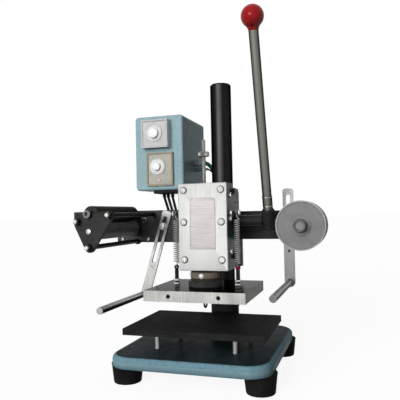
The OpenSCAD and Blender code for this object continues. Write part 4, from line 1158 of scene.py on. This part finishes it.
class PRESS_OT_springs(bpy.types.Operator):
    """Winds the return springs and the hook spring of the pressure roller"""

    bl_idname = "foil_press.springs"
    bl_label = "Springs"

    eye_sweep = 285

    def execute(self, context):
        f = fittings()
        path = self.pull_spring(mm(f.spring_coil), f.spring_turns)
        coils = [
            tube([(x + p[0], SIDE_Y + p[1], p[2]) for p in path], mm(f.spring_wire) / 2, 10)
            for x in (-SPRING_X, SPRING_X)
        ]
        springs = piece("return_springs_wound", coils, "spring_steel", None, "return_springs", sharp=60)
        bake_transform(springs)
        place = Matrix.Translation(HOOK_POST_AT) @ Matrix.Rotation(math.radians(-35), 4, "Y")
        hooked = tube([place @ Vector(p) for p in self.hook_spring()], 0.6, 12)
        piece("hook_spring_wound", [hooked], "spring_steel", "head", "hook_spring", sharp=60)
        return {"FINISHED"}

    def hook(self, height, first, radius=3.0, steps=24):
        """Open eye about a height, from its first angle round."""
        angles = [math.radians(first + self.eye_sweep * k / steps) for k in range(steps + 1)]
        return [(0, radius * math.cos(a), height + radius * math.sin(a)) for a in angles]

    def pull_spring(self, coil, turns, low=156.8, high=220.0, steps=18):
        """Line of a coil between two eyes."""
        path = self.hook(SPRING_LOW_EYE, 90 - self.eye_sweep)
        path += [(coil * 0.3, -0.9, low - 0.8), (coil * 0.75, -1.6, low - 0.5)]
        last = turns * steps
        for k in range(last + 1):
            path.append(polar(coil, 2 * math.pi * k / steps, low + (high - low) * k / last))
        path += [(coil * 0.7, 1.4, high + 1.2), (coil * 0.25, 0.8, high + 2.6), (0, 0.1, high + 4.4)]
        return path + self.hook(SPRING_HIGH_EYE, -90)

    def hook_spring(self, coil=3.6, turns=3, front=-1.2, deep=5.2, steps=24):
        """Line of a few turns round the post, with a straight leg at each end."""
        wound = []
        last = turns * steps
        for k in range(last + 1):
            a = math.pi + 2 * math.pi * k / steps
            wound.append((coil * math.cos(a), front - deep * k / last, coil * math.sin(a)))
        upper = [(-coil, front, z) for z in (12, 9, 6, 3)]
        return upper + wound + [(-coil, front - deep, z) for z in (-2.5, -5)]


class PRESS_OT_lever(bpy.types.Operator):
    """Finishes the lever and its shaft, and turns the ball knob"""

    bl_idname = "foil_press.lever"
    bl_label = "Lever"

    def execute(self, context):
        dress("black_satin", "lever_shaft", edge=0.4)
        dress("bright_steel", "pinion")
        dress("black_satin", "lever_hub", edge=0.4)
        dress("drawn_bar", "lever_rod")
        r, centre, neck = 15.5, 285, math.radians(141)
        ball = [(6.0, 267.6), (6.9, 267.3), (7.2, 267.7), (7.3, 268.6), (8.2, 270.9)]
        ball += [(r * math.sin(a), centre + r * math.cos(a)) for a in (neck * (1 - k / 28) for k in range(28))]
        ball.append((0, centre + r))
        place = Matrix.Translation(LEVER_AT) @ Matrix.Rotation(LEVER_LEAN, 4, "X")
        piece("ball_knob_turned", [lathe(ball, place, 64)], "knob_red", "lever", "ball_knob", 40)
        ring = [(7.0, 0), (7.35, 0), (7.55, 0.5), (7.35, 1.0), (7.0, 1.0)]
        rings = [turned_ring(ring, shifted(place, z)) for z in (22.0, 35.8)]
        piece("ferrule_rings", rings, "bright_steel", "lever")
        return {"FINISHED"}


class PRESS_OT_feed(bpy.types.Operator):
    """Finishes the beams and rollers of the foil take-up, and makes the cap nuts and screws"""

    bl_idname = "foil_press.feed"
    bl_label = "Foil Take-up"

    def execute(self, context):
        edge = mm(fittings().edge)
        dress("left_beam_black", "left_beam", edge=edge)
        dress("beam_black", "take_up_plate", edge=edge)
        dress("black_satin", "right_beam", edge=edge)
        dress("black_satin", "tie_rods")
        dress("roller_black", "drive_roller", edge=0.6)
        dress("roller_rubber", "pressure_roller", edge=0.8)
        dress("spindle_grey", "pressure_axle", edge=0.3)
        self.cap_nuts()
        self.screws()
        x, y, z = DRIVE_AXLE_AT
        end = screw_head(axis((x, y - 0.9, z), FRONT), 3.7, 0.9, 0.6, no_drive)
        piece("drive_axle_end", [end], "bright_steel", "drive_roller")
        return {"FINISHED"}

    def cap_nuts(self):
        """Dark cap nuts on washers, with their tips in bright zinc as a painted highlight."""
        dome = [(4.0 * math.cos(a), 6.4 + 4.1 * math.sin(a)) for a in (math.pi / 20 * k for k in range(10))]
        washers, caps, tips = [], [], []
        for x, z in TIE_POINTS:
            place = axis((x, FEED_Y, z), FRONT)
            washers.append(washer(2.6, 6, place, 0.4))
            caps.append(hex_nut(9.5, 4.6, shifted(place, 1.2), 2.5))
            caps.append(lathe([(3.4, 5.6), (3.95, 5.9), *dome[:6]], place, 40))
            tips.append(lathe([(2.7, 9.0), *dome[5:], (0, 10.5)], place, 40))
        piece("cap_nut_washers", washers, "black_satin", "head", "acorn_nuts")
        piece("cap_nuts", caps, "dark_brass", "head", "acorn_nuts")
        # Painted highlight: the dome tips are bright zinc.
        piece("cap_nut_tips", tips, "zinc_plate", "head", "acorn_nuts")

    def screws(self):
        screws = []
        for x in BEAM_SCREW_X:
            for rise in BEAM_SCREW_RISE:
                place = axis((x, BEAM_Y + BEAM_T, BEAM_Z + rise), BACK)
                screws.append(screw_head(place, 4.25, 5, 4.5, socket_drive(4, 2.6), 0.2))
        post = [(0, -BEAM_T), (2, -BEAM_T), (2, 7.6), (2.8, 7.7), (3, 8), (3, 8.8), (2.7, 9.1), (0, 9.1)]
        screws.append(lathe(post, axis(HOOK_POST_AT, FRONT), 32))
        for x, z in TAKE_UP_SCREWS:
            screws.append(screw_head(axis((x, BEAM_Y, z), FRONT), 3, 2, 0.7, slot_drive(0.8, 0.8)))
        piece("beam_screw_set", screws, "bright_steel", "head", "beam_screws")


class PRESS_OT_spool(bpy.types.Operator):
    """Turns the spool's flanges and its knurled hub nut"""

    bl_idname = "foil_press.spool"
    bl_label = "Foil Spool"

    disc = (
        (6.06, 0.3), (6.4, 0), (12.5, 0), (13.2, 0.45), (31.6, 0.45), (32.4, 0.1), (34.4, 0), (35, 0.5),
        (35, 2.5), (34.4, 3), (32.6, 3), (32.0, 2.5), (15.2, 2.45), (14.4, 3), (6.4, 3), (6.06, 2.7),
    )
    rim = (
        (34.2, -0.02), (34.5, -0.02), (35.02, 0.5), (35.02, 2.5), (34.5, 3.02), (33.6, 3.02), (33.6, 2.9),
        (34.2, 0.1),
    )
    hub = (
        (6.05, 0.4), (6.4, 0), (7.6, 0), (8, 0.4), (8, 3.7), (9.5, 4.6), (9.5, 14.4), (8.4, 15.5), (7.2, 15.5),
        (6.9, 15.1), (6.05, 15.1),
    )

    def execute(self, context):
        places = [axis((SPOOL_X, y, SPOOL_Z), FRONT) for y in FLANGE_Y]
        discs = [turned_ring(self.disc, place, 96) for place in places]
        rims = [turned_ring(self.rim, place, 96) for place in places]
        piece("spool_discs", discs, "spool_frost", "spool", "spool_flanges", 25)
        # Painted highlight: thin rings that lighten the discs' rims.
        piece("spool_rims", rims, "spool_rim", "spool", "spool_flanges", 25)
        dress("spool_frost", "spool_core", edge=0.3)
        dress("spindle_grey", "supply_spindle", edge=0.5)
        teeth = fittings().hub_teeth
        place = axis((SPOOL_X, HUB_NUT_Y, SPOOL_Z), FRONT)
        nut = lathe(self.hub, place, teeth * 4, knurl(teeth, 9.5, 0.9), True)
        piece("hub_nut_knurled", [nut], "hub_grey", "head", "spindle_nut")
        return {"FINISHED"}


class PRESS_OT_guides(bpy.types.Operator):
    """Finishes the slotted guide arms and their rods, and makes the clamp bolts"""

    bl_idname = "foil_press.guides"
    bl_label = "Foil Guides"

    # side, bolt's x, lean in degrees, way down to the stop screw and its finish
    arms = (("left", -90, 17, 69, "left_arm_steel"), ("right", 115, 0, 40, "black_satin"))

    def execute(self, context):
        arm_t, gap = 3, 0.15
        face = BEAM_Y - gap - arm_t - gap
        for side, x, lean, down, plug in self.arms:
            lean = math.radians(lean)
            dress(side + "_arm_steel", side + "_guide_arm", edge=0.35)
            dress(side + "_rod_steel", side + "_guide_rod", edge=0.5)
            front = axis((x, face, BEAM_Z), FRONT) @ Matrix.Rotation(lean, 4, "Z")
            bolt = [
                washer(3.1, 6, front, 0.3),
                screw_head(shifted(front, 1.0), 4.5, 4.2, 2.2, socket_drive(3.0, 1.6)),
                lathe([(0, -15), (2.6, -15), (3, -14.6), (3, 1.3), (0, 1.3)], front, 32),
                hex_nut(11, 5, axis((x, BEAM_Y + BEAM_T + 0.05, BEAM_Z), BACK), 2.9),
            ]
            piece(side + "_clamp_screw", bolt, "zinc_plate", side + "_clamp", side + "_clamp_bolt")
            hole = (x - down * math.sin(lean), face + arm_t, BEAM_Z - down * math.cos(lean))
            stop = screw_head(axis(hole, FRONT), 1.96, 2.7, 2.4, slot_drive(0.7, 0.6))
            piece(side + "_arm_stop_screw", [stop], plug, side + "_arm")
        return {"FINISHED"}


class PRESS_OT_controls(bpy.types.Operator):
    """Finishes the control box, and makes the instrument faces, scales and dials"""

    bl_idname = "foil_press.controls"
    bl_label = "Control Box"

    def execute(self, context):
        dress("hammer_blue", "control_box")
        dress("hammer_blue", "box_cover", edge=0.4)
        dress("table_black", "box_bracket", edge=0.8)
        dress("case_grey", "temperature_controller", edge=0.7)
        dress("case_beige", "timer", edge=0.7)
        dress("grommet_rubber", "cable_grommets", edge=0.4)
        dress("terminal_ivory", "terminal_blocks", edge=0.5)
        self.faces()
        self.dial("temperature_dial", CONTROLLER_AT, 7.8)
        self.dial("timer_dial", TIMER_DIAL_AT, 6.0)
        screws = [
            screw_head(axis((x, BOX_BACK_Y, z), BACK), 2.6, 1.5, 0.5, cross_drive(1.5, 0.8))
            for x in COVER_SCREW_X for z in COVER_SCREW_Z
        ]
        piece("cover_screws", screws, "bright_steel", "head")
        return {"FINISHED"}

    def scale(self, at, radius, figures, between=5):
        """Marks and figures round three quarters of a dial, clockwise from lower left."""
        x, y, z = at
        marks = []
        steps = (len(figures) - 1) * between
        for k in range(steps + 1):
            way = polar(1, math.radians(225 - 270 * k / steps), 0)
            long = 1.1 if k % between else 1.9
            start, stop, reach = ((x + r * way.x, z + r * way.y) for r in (radius, radius + long, radius + 3.7))
            marks.append(bar_between(start, stop, 0.32, y))
            if k % between == 0:
                marks.append(digits(figures[k // between], 2.5, (reach[0], y - 0.05, reach[1])))
        return marks

    def faces(self):
        rise, wide = 0.4, 41.6
        for name, at, tall, finish, slot in (
            ("controller_face", CONTROLLER_AT, 41.6, "scale_grey", "white_dial"),
            ("timer_plate", TIMER_AT, 50.6, "timer_face", "beige_case"),
        ):
            outline, top = rounded(wide, tall, 1.5), rounded(wide - 0.4, tall - 0.4, 1.3)
            plate = framed(at, [(outline, 0), (outline, 0.3), (top, rise)])
            piece(name, [plate], finish, "head")
        marks = []
        for (x, y, z), radius, figures in (
            (CONTROLLER_AT, 14.6, ["0", "1", "2", "3", "4", "5", "6"]),
            (TIMER_DIAL_AT, 14.4, ["0", "2", "4", "6", "8", "10"]),
        ):
            marks += self.scale((x, y - rise, z), radius, figures)
        piece("instrument_scales", marks, "scale_marks", "head")
        x, y, z = TIMER_AT
        line = border((x, y - 2, z), rounded(45.6, 54.6, 1.6), rounded(44.4, 53.4, 1.2), -0.2, 0.25)
        piece("timer_brown_line", [line], "brown_line", "head")
        lamp = screw_head(axis((x - 1.5, y - rise, z - 20), FRONT), 2.5, 1.6, 0.4, no_drive, rings=8, sides=32)
        piece("pilot_lamp", [lamp], "pilot_red", "head")

    def dial(self, body, at, grip):
        """Skirt, knurled cap and pointer of a dial, by the radius of its grip."""
        place = axis(at, FRONT)
        foot = grip + 1.5
        skirt = lathe([
            (0, 0.55), (13.2, 0.55), (14, 1.0), (14, 1.5), (13.6, 1.9), (11.8, 2.3), (grip + 2.2, 2.8),
            (0, 2.8),
        ], place, 96)
        cap = lathe([
            (foot, 2.6), (foot, 3.4), (grip + 0.5, 6.2), (grip, 6.9), (grip - 1, 7.2), (0, 7.3),
        ], place, 120, knurl(30, foot, 0.4))
        piece(body + "_skirt", [skirt], "skirt_white", body, body)
        piece(body + "_cap", [cap], "dial_white", body, body)
        x, y, z = at
        pointer = bar_between((x, z + 8.6), (x, z + 13.0), 0.7, y - 1.55, 1.0)
        piece(body + "_pointer", [pointer], "scale_marks", body)


class PRESS_OT_leads(bpy.types.Operator):
    """Runs the leads from the box to the terminal blocks, and on to the heaters"""

    bl_idname = "foil_press.leads"
    bl_label = "Leads"

    # name, diameter, bend radius and corners of the leads that stay with the head
    fixed = (
        ("box_lead_1", 4.6, 12, ((-104, 52, 265), (-104, 52, 259), (-90, 43, 226), (-29, 21, 189),
                                 (-29, 21, 178))),
        ("box_lead_2", 4.6, 12, ((-98, 55, 265), (-98, 55, 259), (-86, 48, 228), (-29, 25.6, 190),
                                 (-29, 25.6, 178))),
        ("box_lead_3", 4.6, 12, ((-91, 58, 265), (-91, 58, 259), (-82, 53, 230), (-29, 30.2, 191),
                                 (-29, 30.2, 178))),
        ("green_lead", 7, 16, ((-62, 100, 320), (-40, 100, 320), (6, 96, 272), (10, 96, 236), (38, 72, 214),
                               (38, 46, 203), (29, 28, 190), (29, 28, 178))),
        ("side_lead", 3, 12, ((-62, 112, 310), (-40, 112, 310), (4, 109, 266), (6, 112, 238), (40, 92, 218),
                              (50, 58, 206), (46, 30, 200), (29, 20.8, 185), (29, 20.8, 178))),
    )
    # diameter of a lead and the y and z at which it leaves the side of the box
    boots = ((7, 100, 320), (3, 112, 310))
    # name, x and lowest point of the loops that follow the ram
    loops = (("heater_loop_left", -28, 75), ("heater_loop_right", 28, 81))

    def lead(self, name, across, line, body, node):
        finish = "lead_green" if name == "green_lead" else "lead_sheath"
        cord = piece(name, [tube(line, across / 2, 16)], finish, body, node, 60)
        metres = [MM * p for p in line]
        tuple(metres[0])
        sum((b - a).length for a, b in zip(metres, metres[1:]))
        return cord

    def execute(self, context):
        for name, across, bend, corners in self.fixed:
            self.lead(name, across, route(corners, bend), "head", "fixed_leads")
        boots = []
        for across, y, z in self.boots:
            r = across / 2
            boot = [(r + 0.05, 0), (r + 1.6, 0), (r + 1.5, 8), (r + 0.7, 14.6), (r + 0.4, 15), (r + 0.05, 15)]
            boots.append(turned_ring(boot, axis((BOX_SIDE_X, y, z), RIGHT), 32))
        # The boots take the grommet finish, whose upper part is painted shade of the box side.
        piece("lead_boots", boots, "grommet_rubber", "head")
        for name, x, low in self.loops:
            corners = (
                (x, 25, 164), (x, 25, 146), (x, 43, 122), (x, 43, low), (x, 28, low), (x, 28, HOT_MIDDLE),
                (x, 16.5, HOT_MIDDLE),
            )
            loop = self.lead(name, 3, route(corners, 7), None, "lead_loops")
            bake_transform(loop)
        return {"FINISHED"}


STEPS = (
    PRESS_OT_stage,
    PRESS_OT_base,
    PRESS_OT_head,
    PRESS_OT_ram,
    PRESS_OT_springs,
    PRESS_OT_lever,
    PRESS_OT_feed,
    PRESS_OT_spool,
    PRESS_OT_guides,
    PRESS_OT_controls,
    PRESS_OT_leads,
)


class PRESS_PT_panel(bpy.types.Panel):
    """Lists the building steps and their settings"""

    bl_idname = "PRESS_PT_panel"
    bl_label = "Foil Press"
    bl_space_type = "VIEW_3D"
    bl_region_type = "UI"
    bl_category = "Foil Press"

    def draw(self, context):
        layout = self.layout
        for step in STEPS:
            layout.operator(step.bl_idname)
        for group in (context.scene.press_finishes, context.scene.press_fittings, context.scene.press_stage):
            box = layout.box()
            for key in group.__annotations__:
                box.prop(group, key)


GROUPS = {"press_finishes": PressFinishes, "press_fittings": PressFittings, "press_stage": PressStage}
CLASSES = (*GROUPS.values(), *STEPS, PRESS_PT_panel)


def register():
    for cls in CLASSES:
        bpy.utils.register_class(cls)
    for key, cls in GROUPS.items():
        setattr(bpy.types.Scene, key, bpy.props.PointerProperty(type=cls))


def unregister():
    for key in GROUPS:
        delattr(bpy.types.Scene, key)
    for cls in reversed(CLASSES):
        bpy.utils.unregister_class(cls)


def main():
    register()
    for step in STEPS:
        group, name = step.bl_idname.split(".")
        getattr(getattr(bpy.ops, group), name)()


if __name__ == "__main__":
    main()
